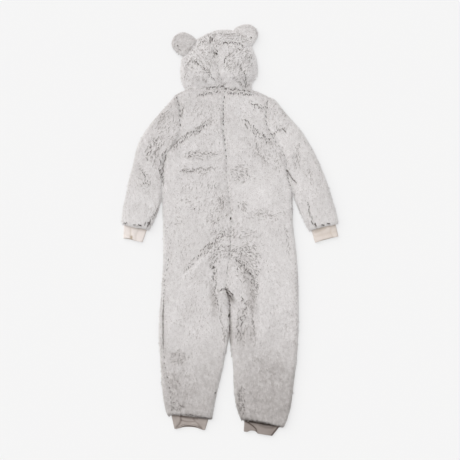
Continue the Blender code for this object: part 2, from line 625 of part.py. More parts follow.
def make_ear(side, centre_x, centre_y, radius, layer):
    # A round piece whose base follows the hood's outline.
    line = hood_border()
    sign, level = (1, SEAM_HEIGHT + LAYER_GAP / 2) if layer == "back" else (-1, SEAM_HEIGHT - LAYER_GAP / 2)
    full = EAR_HEIGHT if layer == "back" else level
    turns = [math.tau * k / EAR_SPOKES for k in range(EAR_SPOKES)]
    steps = [(math.cos(turn), math.sin(turn)) for turn in turns]
    reach = []
    for across, along in steps:
        far = radius
        while inside(line, centre_x + far * across, centre_y + far * along):
            far -= 0.5
        reach.append(far if far == radius else far - EAR_CLEAR)
    outer = []
    for part in EAR_RINGS:
        row = []
        for (across, along), far in zip(steps, reach):
            x, y = centre_x + far * part * across, centre_y + far * part * along
            to_edge = radius - math.hypot(x - centre_x, y - centre_y)
            row.append((x, y, level + sign * full * rounded(to_edge, EAR_ROUND, EDGE_LIP / full)))
        outer.append(row)
    mesh = bmesh.new()
    fine = [[mesh.verts.new(Vector(p) * MM) for p in row] for row in outer]
    flat = [mesh.verts.new(Vector((x, y, level)) * MM) for x, y, z in outer[0]]
    for first, second in zip(fine, fine[1:]):
        add_strip(mesh, first, second, True)
    add_strip(mesh, fine[0], flat, True)
    mesh.faces.new(fine[-1])
    mesh.faces.new(flat)
    bmesh.ops.triangulate(mesh, faces=[f for f in mesh.faces if len(f.verts) > 4])
    bmesh.ops.recalc_face_normals(mesh, faces=mesh.faces)
    return add_object(f"ear_{side}_{layer}", "fleece", mesh)


# ---- cuffs ---------------------------------------------------------------------------------

def make_cuff(name, hem_rows, outer_x, inner_x, low_outer, low_inner, ribs):
    # A flat tube of rib knit: ribs stand up on the upper face, the lower face lies flat.
    hem = curve_of(hem_rows)
    top_outer, top_inner = (outer_x, hem(outer_x)), (inner_x, hem(inner_x))
    steps = 2 * ribs
    outer, inner = [], []
    levels = [(0, 0.3), (0.08, 1), (0.5, 1), (0.92, 1), (1, 0.3)]
    for level, relief in levels:
        first = np.array(top_outer) + (np.array(low_outer) - np.array(top_outer)) * level
        last = np.array(top_inner) + (np.array(low_inner) - np.array(top_inner)) * level
        width = float(np.linalg.norm(last - first))
        lift = MOUTH_LIFT * level ** 2
        half = CUFF_HEIGHT / 2

        def place(off):
            x, y = first + (last - first) * off / width
            return x, y + (hem(x) - 5 * LAYER_GAP - y) * (1 - level) ** 3

        ring = []
        for k in range(steps + 1):
            off = width * (1 - math.cos(math.pi * k / steps)) / 2 * 0.12 + width * k / steps * 0.88
            round_off = rounded(min(off, width - off), half, 0)
            arch = lift * math.sin(math.pi * off / width)
            rib = RIB_DEPTH * relief * (k % 2) * round_off
            raised = half * round_off - RIB_DEPTH + rib + arch if 0 < k < steps else 0
            ring.append((*place(off), half + raised))
        for off in (width - 1.2, width - 4.5, width * 0.75, width * 0.5, width * 0.25, 4.5, 1.2):
            ring.append((*place(off), half - half * rounded(min(off, width - off), half, 0)))
        outer.append(ring)
        hollow = [(*place(RIB_WALL + 0.2), half)]
        for part in (0.25, 0.5, 0.75):
            arch = lift * math.sin(math.pi * part)
            hollow.append((*place(width * part), half + CUFF_SLIT / 2 + arch))
        hollow.append((*place(width - RIB_WALL - 0.2), half))
        for part in (0.75, 0.5, 0.25):
            hollow.append((*place(width * part), half - CUFF_SLIT / 2))
        inner.append(hollow)
    columns = [0, steps // 4, steps // 2, 3 * steps // 4, steps, steps + 3, steps + 4, steps + 5]
    finish = "taupe_rib" if name.startswith("ankle") else "cream_rib"
    return solid_from_grids(name, finish, outer, inner, list(range(len(levels))), columns, True)


# ---- zip -----------------------------------------------------------------------------------

def make_tape(side):
    outward = -1 if side == "left" else 1
    line = curve_of(FRONT_CENTRE)
    near, far = TAPE_EDGE, ZIP_CHANNEL / 2 - 0.4
    mesh = bmesh.new()
    rings = []
    for k in range(25):
        y = ZIP_TOP + 3 + (ZIP_BOTTOM - ZIP_TOP - 3) * k / 24
        corners = [(near, TAPE_LOW), (far, TAPE_LOW), (far, TAPE_HIGH), (near, TAPE_HIGH)]
        rings.append([mesh.verts.new(Vector((line(y) + outward * x, y, z)) * MM) for x, z in corners])
    for first, second in zip(rings, rings[1:]):
        add_strip(mesh, first, second, True)
    mesh.faces.new(rings[0])
    mesh.faces.new(rings[-1])
    bmesh.ops.recalc_face_normals(mesh, faces=mesh.faces)
    return add_object("zip_tape_" + side, "zip_tape", mesh)


def flat_shape(name, finish, splines, thick):
    # A flat outline, with any holes, extruded to its thickness.
    curve = bpy.data.curves.new(name, "CURVE")
    curve.dimensions = "2D"
    curve.fill_mode = "BOTH"
    curve.extrude = thick / 2 * MM
    for points in splines:
        spline = curve.splines.new("POLY")
        spline.points.add(len(points) - 1)
        for point, (x, y) in zip(spline.points, points):
            point.co = (x * MM, y * MM, 0, 1)
        spline.use_cyclic_u = True
    curve.materials.append(bpy.data.materials[finish])
    piece = bpy.data.objects.new(name, curve)
    bpy.data.collections["onesie"].objects.link(piece)
    return piece


def make_slider():
    # Two plates joined by a post, with two cheeks that hold the pull; its section runs along Y.
    half, post, cheek, slot = SLIDER_WIDTH / 2, 1.2, 1.6, 2.5
    low, plate_low, plate_high, top = 0.6, 2.7, 3.8, 6.6
    right = [(cheek, plate_low + 0.1), (cheek, low), (slot, low), (slot, plate_low), (half - 0.6, plate_low),
             (half, plate_low + 0.5), (half, plate_high), (post, plate_high), (post, 5.7), (half, 5.8),
             (half, top - 0.4), (half - 0.6, top)]
    outline = right + [(-x, z) for x, z in reversed(right)]
    slider = flat_shape("zip_slider", "zip_metal", [outline], SLIDER_LENGTH)
    middle = curve_of(FRONT_CENTRE)(ZIP_TOP - SLIDER_LENGTH / 2)
    slider.location = Vector((middle, ZIP_TOP - SLIDER_LENGTH / 2, 0)) * MM
    slider.rotation_euler = (math.pi / 2, 0, 0)
    return slider


def make_pull():
    # A drop-shaped tab on a narrow neck; its origin is on the hinge axis in the slider.
    neck, head, neck_end, shoulder, eye = 1.2, 1.0, -7, -11, 1.7
    wide = PULL_WIDTH / 2
    low = wide - PULL_LENGTH
    round_end = [math.pi * k / 10 for k in range(11)]
    outline = [(neck, head), (neck, neck_end), (wide, shoulder)]
    outline += [(wide * math.cos(turn), low - wide * math.sin(turn)) for turn in round_end]
    outline += [(-wide, shoulder), (-neck, neck_end), (-neck, head)]
    turns = [math.tau * k / 12 for k in range(12)]
    hole = [(eye * math.cos(turn), low - 0.3 + eye * math.sin(turn)) for turn in turns]
    pull = flat_shape("zip_pull", "zip_metal", [outline, hole], PULL_THICK)
    middle = curve_of(FRONT_CENTRE)(ZIP_TOP - SLIDER_LENGTH / 2)
    pull.location = Vector((middle, ZIP_TOP - SLIDER_LENGTH / 2, PULL_AXIS_HEIGHT)) * MM
    return pull


# ---- whole ---------------------------------------------------------------------------------

def centre_on_floor():
    # Moves the whole so that the middle of its box is at x = y = 0.
    bpy.context.view_layer.update()
    corners = [piece.matrix_world @ Vector(corner)
               for piece in bpy.data.collections["onesie"].objects for corner in piece.bound_box]
    middle_x = (min(c.x for c in corners) + max(c.x for c in corners)) / 2
    middle_y = (min(c.y for c in corners) + max(c.y for c in corners)) / 2
    for piece in bpy.data.collections["onesie"].objects:
        piece.location -= Vector((middle_x, middle_y, 0))


def build():
    for old in list(bpy.data.objects):
        bpy.data.objects.remove(old)
    bpy.context.scene.collection.children.link(bpy.data.collections.new("onesie"))
    make_materials()
    for side in ("left", "right"):
        make_back(side)
        make_front(side)
        make_sleeve(side)
        make_hood(side)
        make_tape(side)
    for side, centre_x, centre_y, radius in EARS:
        make_ear(side, centre_x, centre_y, radius, "back")
        make_ear(side, centre_x, centre_y, radius, "front")
    for row in CUFFS:
        make_cuff(*row)
    make_slider()
    make_pull()
    centre_on_floor()


build()
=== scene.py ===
import math

import bmesh
import bpy
import numpy as np
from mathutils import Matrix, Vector
from mathutils.bvhtree import BVHTree


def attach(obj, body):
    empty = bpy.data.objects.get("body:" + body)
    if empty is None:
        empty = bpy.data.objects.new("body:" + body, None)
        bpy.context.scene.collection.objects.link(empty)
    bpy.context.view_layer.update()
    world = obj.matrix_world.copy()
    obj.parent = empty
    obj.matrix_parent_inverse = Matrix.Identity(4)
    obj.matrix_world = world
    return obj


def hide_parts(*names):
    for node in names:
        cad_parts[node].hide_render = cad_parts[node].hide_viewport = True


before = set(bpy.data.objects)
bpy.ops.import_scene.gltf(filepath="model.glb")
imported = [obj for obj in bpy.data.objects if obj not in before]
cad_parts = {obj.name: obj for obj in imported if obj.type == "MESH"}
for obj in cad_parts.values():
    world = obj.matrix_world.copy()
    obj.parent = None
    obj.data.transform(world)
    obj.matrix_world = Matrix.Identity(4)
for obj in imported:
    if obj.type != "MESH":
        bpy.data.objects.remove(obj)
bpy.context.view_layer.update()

mm = 0.001
body = "garment"
# where the pattern's zero lies in the frame, and the height at which front and back meet, in millimetres
drafting = {"middle": (-0.95, 1.25), "between": 7.0}


# Small tools

def linear(hexColour):
    # sRGB hex to linear red, green, blue and a full alpha.
    parts = [int(hexColour[i:i + 2], 16) / 255 for i in (1, 3, 5)]
    return (*[p / 12.92 if p <= 0.04045 else ((p + 0.055) / 1.055) ** 2.4 for p in parts], 1)


def soft(low, high, value):
    # A smooth step from 0 to 1.
    share = np.clip((value - low) / (high - low), 0, 1)
    return share * share * (3 - 2 * share)


def cloud(x, y, size, seed):
    # Smooth random values from -1 to 1 over the plane, in patches of about a size, in millimetres.
    grid = np.random.default_rng(seed).uniform(-1, 1, (128, 128))
    turn = seed * 0.7
    u = (x * math.cos(turn) + y * math.sin(turn)) / size
    v = (y * math.cos(turn) - x * math.sin(turn)) / size
    i, j = np.floor(u).astype(int), np.floor(v).astype(int)
    s, t = u - i, v - j
    s, t = s * s * (3 - 2 * s), t * t * (3 - 2 * t)
    a, b = grid[i % 128, j % 128], grid[(i + 1) % 128, j % 128]
    c, d = grid[i % 128, (j + 1) % 128], grid[(i + 1) % 128, (j + 1) % 128]
    return a + (b - a) * s + (c - a) * t + (a - b - c + d) * s * t


def deselect():
    bpy.ops.object.select_all(action="DESELECT")


def useOnly(piece):
    deselect()
    piece.select_set(True)
    bpy.context.view_layer.objects.active = piece


def addObject(name, data):
    piece = bpy.data.objects.new(name, data)
    bpy.context.scene.collection.objects.link(piece)
    return piece


def newPiece(name, vertices, faces):
    mesh = bpy.data.meshes.new(name)
    mesh.from_pydata([tuple(v) for v in vertices], [], faces)
    return addObject(name, mesh)


def placesOf(piece, kind="co"):
    # Where a piece's vertices are, or which way they face where the kind is "normal".
    places = np.empty(len(piece.data.vertices) * 3)
    piece.data.vertices.foreach_get(kind, places)
    return places.reshape(-1, 3)


def setPlaces(piece, places):
    piece.data.vertices.foreach_set("co", np.asarray(places, float).ravel())
    piece.data.update()


def onPattern(places):
    # The x and y of places on the pattern, in millimetres.
    return [places[..., k] / mm - drafting["middle"][k] for k in (0, 1)]


def unit(ways):
    return ways / np.maximum(np.linalg.norm(ways, axis=1), 1e-12)[:, None]


def pointOutwards(piece):
    shape = bmesh.new()
    shape.from_mesh(piece.data)
    bmesh.ops.recalc_face_normals(shape, faces=shape.faces)
    shape.to_mesh(piece.data)
    shape.free()


def joinGarment(piece, slot, *nodes):
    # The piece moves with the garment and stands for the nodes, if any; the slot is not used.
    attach(piece, body)
    if nodes:
        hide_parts(*nodes)
    return piece


def addNode(tree, kind, settings=None, values=None, links=None):
    # One node with its settings, socket values and links; a link is (socket, node, its output).
    node = tree.nodes.new(kind)
    for key, value in (settings or {}).items():
        setattr(node, key, value)
    for key, value in (values or {}).items():
        node.inputs[key].default_value = value
    for key, source, output in links or []:
        tree.links.new(source.outputs[output], node.inputs[key])
    return node


def newMaterial(name, **values):
    material = bpy.data.materials.new(name)
    material.use_nodes = True
    shader = material.node_tree.nodes["Principled BSDF"]
    for key, value in values.items():
        shader.inputs[key.replace("_", " ")].default_value = value
    return material, material.node_tree, shader


def mottledMaterial(name, colour, deeper, scale, detail, **values):
    # A material whose colour drifts between two tones, with the nodes that its other patterns build on.
    material, tree, shader = newMaterial(name, **values)
    where = addNode(tree, "ShaderNodeTexCoord")
    noise = addNode(tree, "ShaderNodeTexNoise", None, {"Scale": scale, "Detail": detail},
                    [("Vector", where, "Object")])
    mix = addNode(tree, "ShaderNodeMix", {"data_type": "RGBA"}, {6: linear(deeper), 7: linear(colour)},
                  [(0, noise, "Fac")])
    tree.links.new(mix.outputs[2], shader.inputs["Base Color"])
    return material, tree, shader, where, mix


# Camera, light and floor

picture = {"lens": 200, "across": 1.3248, "level": 0.012, "farthest": 100}   # across: metres seen at that level
light = {"sky": 0.47, "colour": "#fffefe", "spread": 60,
         "suns": {"above": (1.1, (-8, -4)), "side": (1.5, (-33, -40))}}   # strength, turn in degrees
table = {"size": 12, "colour": "#9a9a9a", "glow": 0.55, "rough": 0.9, "gloss": 0.2}


def setTheTable():
    bpy.ops.mesh.primitive_plane_add(size=table["size"], location=(0, 0, 0))
    floor = bpy.context.active_object
    floor.name = "floor"
    # Frosted glass over a light box: even, matt, and lit from below as well.
    material, tree, shader = newMaterial("frostedTableTop", Roughness=table["rough"], Emission_Strength=table["glow"],
                                         Specular_IOR_Level=table["gloss"])
    shader.inputs["Emission Color"].default_value = (1, 1, 1, 1)
    shader.inputs["Base Color"].default_value = linear(table["colour"])
    floor.data.materials.append(material)
    lens = bpy.data.cameras.new("camera")
    lens.lens = picture["lens"]
    lens.clip_end = picture["farthest"]
    camera = addObject("camera", lens)
    camera.location = (0, 0, picture["level"] + picture["across"] * picture["lens"] / lens.sensor_width)
    bpy.context.scene.camera = camera
    for name, (strength, turn) in light["suns"].items():
        sun = addObject(name + "Light", bpy.data.lights.new(name + "Light", "SUN"))
        sun.data.energy = strength
        sun.data.color = linear(light["colour"])[:3]
        sun.data.angle = math.radians(light["spread"])
        sun.rotation_euler = (math.radians(turn[0]), math.radians(turn[1]), 0)
    world = bpy.data.worlds.new("studio")
    world.use_nodes = True
    sky = world.node_tree.nodes["Background"].inputs
    sky["Color"].default_value = (1, 1, 1, 1)
    sky["Strength"].default_value = light["sky"]
    bpy.context.scene.world = world
    bpy.context.scene.view_settings.view_transform = "Standard"   # a plain studio picture, no film curve


setTheTable()
print("camera, light and floor set")


# Where the pile parts: along seams, over folds and in stray specks, its darker roots showing with painted shade in
# the gaps; and painted shade under the legs' hems and between the legs, drawn as partings

pileParts = {
    # how far apart the partings are, how long, wide and deep, how far they stray and turn
    "seamStep": (9.0, 18.0), "seamLength": (4.0, 9.5), "seamWidth": 0.95, "seamDepth": (0.5, 1.0),
    "seamStray": 0.3, "seamTurn": 0.12,
    "foldStep": (2.0, 3.8), "foldLength": (3.5, 9.0), "foldWidth": (0.65, 0.95), "foldDepth": (0.6, 1.15),
    "foldTurn": 0.35, "foldEnds": 0.15,
    # a fold whose band is wider than this is crossed by strokes of the nap, and its hollow is softer
    "featherFrom": 2.9, "featherStep": (3.0, 7.2), "featherDepth": (0.8, 1.5), "featherHollow": 0.4,
    "strokes": 0.72, "strokeLength": (4.0, 8.0), "strokeLean": (-0.3, 0.45),
    "curlLength": (4.5, 9.5), "curlWidth": (0.5, 0.75), "curlDepth": 0.75, "curlSpread": (0.45, 1.05),
    "curlTurn": 0.45, "curlRows": 0.8,
    "specks": 300, "speckDepth": (0.15, 0.35), "speckLength": (2, 5), "speckWidth": (0.6, 1.0),
    "speckLean": (-1.3, 0.7),
    # along seams, where blades lean over them: how far apart, length and width; and troughs in the backing: how far
    # apart, length, how much wider, depth at the ends
    "bridged": ((2, 3), (4, 4.5)), "hollow": ((4, 5), 6, 3, 0.25),
    # kind, depth of the parting, width of the band in millimetres, the line's points in millimetres
    "back": [
        ("seam", 0.95, 1.0, [(-13, 404), (-15, 385), (-18, 368), (-19, 284), (-14, 256),
                             (-9, 207)]),  # centre seam, top
        ("seam", 0.5, 0.8, [(-9, 207), (-9, 157), (-3, 102), (2, 57), (4, 37)]),  # centre seam, middle
        ("seam", 0.55, 0.9, [(4, 37), (3, -30), (0, -71), (-3, -98), (-9, -124), (-4, -142),
                             (-11, -165)]),  # centre seam, seat
        ("seam", 0.8, 1.1, [(-73, 406), (-59, 408), (-40, 410), (-19, 411), (-13, 405), (1, 403), (19, 404),
                            (34, 400), (58, 397)]),  # neck seam
        ("fold", 0.75, 3.4, [(-80, 404), (-59, 408), (-40, 410), (-19, 411), (-13, 405), (1, 403), (19, 404),
                             (34, 400), (62, 396)]),
        ("fold", 0.85, 3.2, [(-99, 385), (-80, 386), (-68, 391), (-44, 395),
                             (-25, 397)]),  # fold under the neck, left
        ("fold", 0.9, 3.0, [(-9, 393), (5, 393), (24, 391), (48, 390), (74, 385)]),  # fold under the neck, right
        ("seam", 1.0, 1.1, [(-153, 381), (-148, 365), (-143, 350), (-143, 331), (-144, 315),
                            (-140, 294)]),  # left armhole
        ("seam", 0.35, 0.9, [(-140, 294), (-158, 258), (-176, 235)]),  # left armhole, low
        ("fold", 0.55, 2.5, [(-132, 358), (-136, 340), (-140, 322)]),  # left shoulder point
        ("seam", 0.95, 1.0, [(109, 371), (108, 354), (105, 329), (104, 313), (108, 295), (121, 273), (127, 255),
                             (139, 246)]),  # right armhole
        ("fold", 0.7, 5.0, [(55, 369), (77, 354), (102, 348)]),  # right shoulder
        ("fold", 0.65, 4.5, [(-37, 312), (-65, 311), (-83, 300), (-95, 287), (-114, 281), (-132, 272), (-148, 260),
                             (-162, 244), (-174, 229)]),  # upper back, left
        ("fold", 0.65, 4.5, [(-52, 305), (-66, 302), (-80, 291), (-92, 279), (-111, 273), (-128, 264), (-143, 252),
                             (-158, 237), (-172, 222)]),
        ("fold", 0.85, 4.5, [(32, 317), (50, 312), (66, 300), (84, 281), (106, 265),
                             (125, 250)]),  # upper back, right
        ("fold", 0.7, 4.5, [(38, 306), (52, 297), (64, 284), (82, 266), (104, 252), (128, 240)]),
        ("fold", 0.65, 5.0, [(-40, 221), (-74, 219), (-106, 215), (-124, 205)]),  # second fold, left
        ("fold", 0.6, 4.5, [(-40, 178), (-65, 173), (-93, 176), (-112, 168), (-136, 173),
                            (-143, 161)]),  # third fold, left
        ("fold", 0.45, 6.0, [(70, 258), (78, 230), (93, 207), (107, 186)]),  # blade, right
        ("fold", 0.4, 6.0, [(45, 177), (52, 163), (65, 140)]),  # side, right
        ("fold", 0.35, 6.0, [(-31, 95), (-24, 77), (-16, 57)]),  # waist, left
        ("fold", 0.35, 6.0, [(34, 81), (41, 66), (46, 51)]),  # waist, right
        ("fold", 0.3, 6.0, [(68, 51), (93, 45), (116, 40), (145, 32)]),  # waist line, right
        ("fold", 0.3, 5.0, [(-161, 12), (-143, 21), (-126, 22)]),  # waist line, left
        ("fold", 0.75, 6.0, [(-2, 4), (-14, -7), (-27, -20), (-44, -33), (-66, -50), (-84, -68), (-96, -82),
                             (-112, -100), (-130, -124)]),  # seat, left
        ("fold", 0.6, 6.0, [(-6, -10), (-22, -26), (-40, -42), (-62, -60), (-78, -76)]),
        ("fold", 0.5, 16.0, [(-51, -47), (-11, -50), (30, -58), (76, -70)]),  # seat, gathered
        ("fold", 0.85, 8.0, [(9, -81), (23, -96), (47, -112), (61, -133), (67, -153), (79, -177)]),  # seat, right
        ("fold", 0.75, 6.0, [(-39, -77), (-47, -98), (-49, -118), (-42, -153), (-47, -177), (-39, -206),
                             (-27, -237)]),  # crotch, left
        ("fold", 1.0, 2.2, [(-32, -180), (-23, -173), (-12, -169), (5, -182), (12, -194)]),  # crotch arch
        ("seam", 1.0, 1.1, [(-9, -176), (-3, -197), (1, -218), (0, -259), (0, -300)]),  # between the legs
        ("fold", 0.8, 8.0, [(30, -182), (47, -218), (41, -245), (32, -262), (26, -289),
                            (20, -326)]),  # inner leg, right
        ("fold", 0.45, 4.0, [(58, -202), (66, -256), (70, -294), (72, -335)]),  # thigh, right
        ("fold", 0.4, 4.0, [(-24, -218), (-28, -250), (-19, -289), (-15, -323)]),  # inner leg, left
        ("seam", 0.75, 0.9, [(-176, -81), (-181, -115), (-186, -142), (-191, -205), (-191, -346), (-186, -392),
                             (-180, -427), (-171, -464), (-169, -493), (-166, -528)]),  # side seam, left leg
        ("fold", 0.85, 0.5, [(-190, -200), (-192, -240), (-192, -300),
                             (-191, -345)]),  # side seam, left leg, opened
        ("fold", 0.6, 0.8, [(-190, -220), (-192, -240), (-192, -300), (-191, -345)]),
        ("seam", 0.45, 0.9, [(-166, -6), (-172, -47), (-176, -81)]),  # hip, left
        ("fold", 0.4, 5.0, [(158, 19), (164, -9), (168, -41), (171, -78)]),  # hip, right
        ("seam", 0.35, 0.9, [(189, -93), (192, -202), (191, -318)]),  # side, right leg
        ("fold", 0.35, 9.0, [(-168, -371), (-144, -359), (-124, -368), (-104, -368)]),  # knee, left
        ("fold", 0.3, 6.0, [(-171, -412), (-161, -436), (-153, -456)]),  # shin, left
        ("fold", 0.3, 7.0, [(58, -377), (76, -380), (102, -374), (123, -368)]),  # knee, right
        ("fold", 0.3, 7.0, [(82, -394), (102, -406), (123, -415), (141, -406)]),  # shin, right
        ("fold", 0.5, 5.0, [(31, -470), (27, -503), (33, -530), (42, -548)]),  # inseam, right, at the hem
        # painted shade where the legs lie together, drawn as a parting
        ("fold", 0.9, 0.8, [(-5, -190), (0, -215), (1, -240), (0, -268)]),  # between the legs, closed
        ("fold", 0.5, 3.0, [(-156, -509), (-144, -506), (-130, -512)]),  # hem, left leg
        # painted shade under the legs' hems, drawn as partings along their edges
        ("fold", 1.0, 1.6, [(-175, -531), (-156, -532), (-112, -533), (-65, -542), (-52, -537)]),  # left leg's edge
        ("fold", 1.0, 1.6, [(44, -546), (64, -554), (99, -554), (123, -565), (148, -565)]),  # right leg's edge
        ("fold", 0.9, 3.4, [(-182, 232), (-187, 205), (-192, 180), (-193, 150), (-191, 122)]),  # underarm, left
        ("fold", 0.6, 3.5, [(-189, 225), (-198, 200), (-201, 178), (-200, 143)]),  # underarm, left sleeve
        ("fold", 0.65, 8.0, [(-189, 270), (-205, 258), (-217, 247), (-229, 229), (-234, 210),
                             (-226, 195)]),  # elbow, left
        ("fold", 0.6, 6.0, [(-192, 258), (-199, 240), (-210, 222), (-216, 205)]),  # elbow, left, second
        ("fold", 0.75, 4.0, [(-262, 190), (-250, 165), (-240, 146), (-227, 131)]),  # forearm, left
        ("fold", 0.6, 3.0, [(-226, 133), (-237, 130), (-250, 133)]),  # forearm, left, low
        ("fold", 0.8, 3.0, [(-206, 70), (-213, 54), (-229, 21), (-236, 7)]),  # inner edge, left sleeve
        ("fold", 0.35, 5.0, [(-182, 339), (-201, 313), (-215, 293)]),  # top of the left sleeve
        ("fold", 0.75, 3.2, [(121, 269), (139, 286), (148, 289), (167, 278)]),  # elbow, right
        ("seam", 0.5, 0.9, [(139, 246), (150, 224), (161, 209), (163, 192), (164, 176)]),  # underarm, right sleeve
        ("fold", 1.0, 0.8, [(165, 172), (172, 158), (181, 146), (192, 133)]),  # underarm, right sleeve, opened
        ("seam", 0.85, 1.1, [(164, 174), (169, 140), (176, 120)]),  # side under the arm, right
        ("fold", 0.38, 4.5, [(204, 252), (195, 224), (190, 196), (182, 174)]),  # middle, right sleeve
        ("fold", 0.35, 4.0, [(226, 176), (233, 161), (235, 140)]),  # forearm, right
        ("fold", 0.75, 3.4, [(219, 86), (228, 65), (235, 34), (245, 10)]),  # sleeve seam, right
        ("seam", 1.0, 1.0, [(-51, 567), (-44, 546), (-38, 528), (-34, 497)]),  # hood seam
        ("seam", 0.5, 0.9, [(-34, 497), (-34, 469), (-30, 445), (-21, 426), (-14, 408)]),  # hood seam, lower
        ("fold", 0.95, 2.0, [(-57, 557), (-57, 534)]),  # hood seam, opened
        ("fold", 0.9, 1.5, [(-47, 515), (-43, 502)]),  # hood seam, opened lower
        ("fold", 0.6, 5.0, [(-97, 528), (-83, 535), (-66, 544)]),  # hood, left crown
        ("fold", 0.85, 3.6, [(-130, 458), (-126, 473), (-115, 480), (-103, 485), (-89, 474), (-80, 468), (-68, 454),
                             (-51, 440), (-37, 424)]),  # hood, left
        ("fold", 0.4, 4.0, [(-84, 436), (-71, 430), (-68, 420)]),  # hood, left low
        ("fold", 0.4, 3.5, [(-126, 434), (-129, 454)]),  # hood, left side
        ("fold", 0.4, 4.0, [(-113, 494), (-106, 508), (-97, 518)]),  # hood, left temple
        ("fold", 0.75, 3.2, [(-35, 532), (-19, 536), (1, 537), (19, 538), (32, 533),
                             (42, 522)]),  # hood, right crown
        ("fold", 0.55, 3.0, [(-47, 560), (-33, 563), (-17, 563), (6, 563)]),  # hood, top right
        ("fold", 0.6, 3.6, [(12, 515), (-5, 499), (-12, 488), (-19, 473)]),  # hood, right middle
        ("fold", 0.45, 4.0, [(-17, 466), (1, 483), (18, 489)]),  # hood, right cheek
        ("fold", 0.8, 4.2, [(12, 469), (25, 469), (35, 464), (43, 449), (48, 437), (45, 428),
                            (53, 411)]),  # hood, right side
        ("fold", 0.8, 1.4, [(24, 521), (32, 514)]),  # hood, right dash
        ("fold", 0.45, 6.0, [(53, 511), (60, 489), (61, 466)]),  # hood, right rim
        ("fold", 0.5, 4.0, [(21, 426), (38, 415), (53, 411)]),  # hood, nape right
        ("fold", 0.25, 6.0, [(-132, 512), (-112, 525), (-97, 541)]),  # left ear's base
        ("fold", 0.35, 4.0, [(23, 572), (40, 552), (54, 541)]),  # right ear's base
    ],
    "front": [
        ("seam", 0.5, 1.0, [(5, -50), (7, -100), (8, -150)]),
        ("seam", 0.5, 1.0, [(-153, 389), (-143, 342), (-140, 307), (-149, 264), (-171, 230), (-186, 208)]),
        ("seam", 0.5, 1.0, [(111, 382), (104, 328), (107, 299), (122, 273), (142, 244), (160, 208)]),
        ("fold", 0.4, 5.0, [(20, 300), (70, 280), (120, 250)]),
        ("fold", 0.4, 5.0, [(-40, 290), (-90, 270), (-140, 240)]),
        ("fold", 0.3, 6.0, [(-30, 120), (-80, 110), (-130, 90)]),
        ("fold", 0.3, 6.0, [(30, 60), (80, 40), (140, 36)]),
        ("fold", 0.45, 6.0, [(-20, -100), (-60, -130), (-110, -190)]),
        ("fold", 0.45, 6.0, [(10, -110), (60, -140), (100, -200)]),
        ("fold", 0.5, 5.0, [(-60, -388), (-98, -402), (-150, -398)]),
        ("fold", 0.5, 5.0, [(40, -404), (86, -418), (150, -408)]),
        ("fold", 0.5, 5.0, [(-250, 200), (-235, 157), (-225, 138)]),
        ("fold", 0.5, 5.0, [(193, 230), (187, 182), (178, 150)]),
    ],
}
# Single marks, such as a stitch, and spots of painted shade under the sleeves' hems and between the legs: x, y, turn
# in degrees, length, width in millimetres, depth
marks = [
    (2, 32, 70, 8, 1.8, 0.9), (-101, 60, 0, 2, 1.6, 0.9), (-50, 547, 80, 9, 1.6, 1.0),
    (-38, 505, -65, 8, 1.8, 1.0), (-46, 498, 10, 3, 1.3, 0.7), (-149.6, 529.2, -60, 3.0, 1.5, 1.0),
    (-143.5, 518, -37, 9, 0.7, 0.6), (62.1, 552.5, -50, 2.5, 1.4, 1.0), (-41.6, -469.6, 30, 3.0, 1.4, 0.9),
    (-2, -247, 80, 12, 1.5, 1.0), (-10, -174, 0, 6, 1.6, 1.0), (-300, 16.5, 0, 12, 1.0, 0.9),
    (-258.5, 12, 5, 11, 1.3, 1.0), (-234, 14, 60, 16, 1.2, 0.9), (-243, 18, 70, 9, 1.0, 0.7),
    (-274, 13, -5, 7, 1.0, 0.7), (246, 14, -70, 12, 1.2, 0.9), (268, 13, 5, 9, 1.4, 1.0),
    (284, 16.5, 5, 9, 1.4, 1.0), (237, 20, -70, 12, 1.0, 0.7), (-6, -182, -60, 12, 2.0, 1.0),
    (-1, -190, -55, 14, 2.2, 0.8), (6, -198, -50, 14, 2.2, 0.5),
]
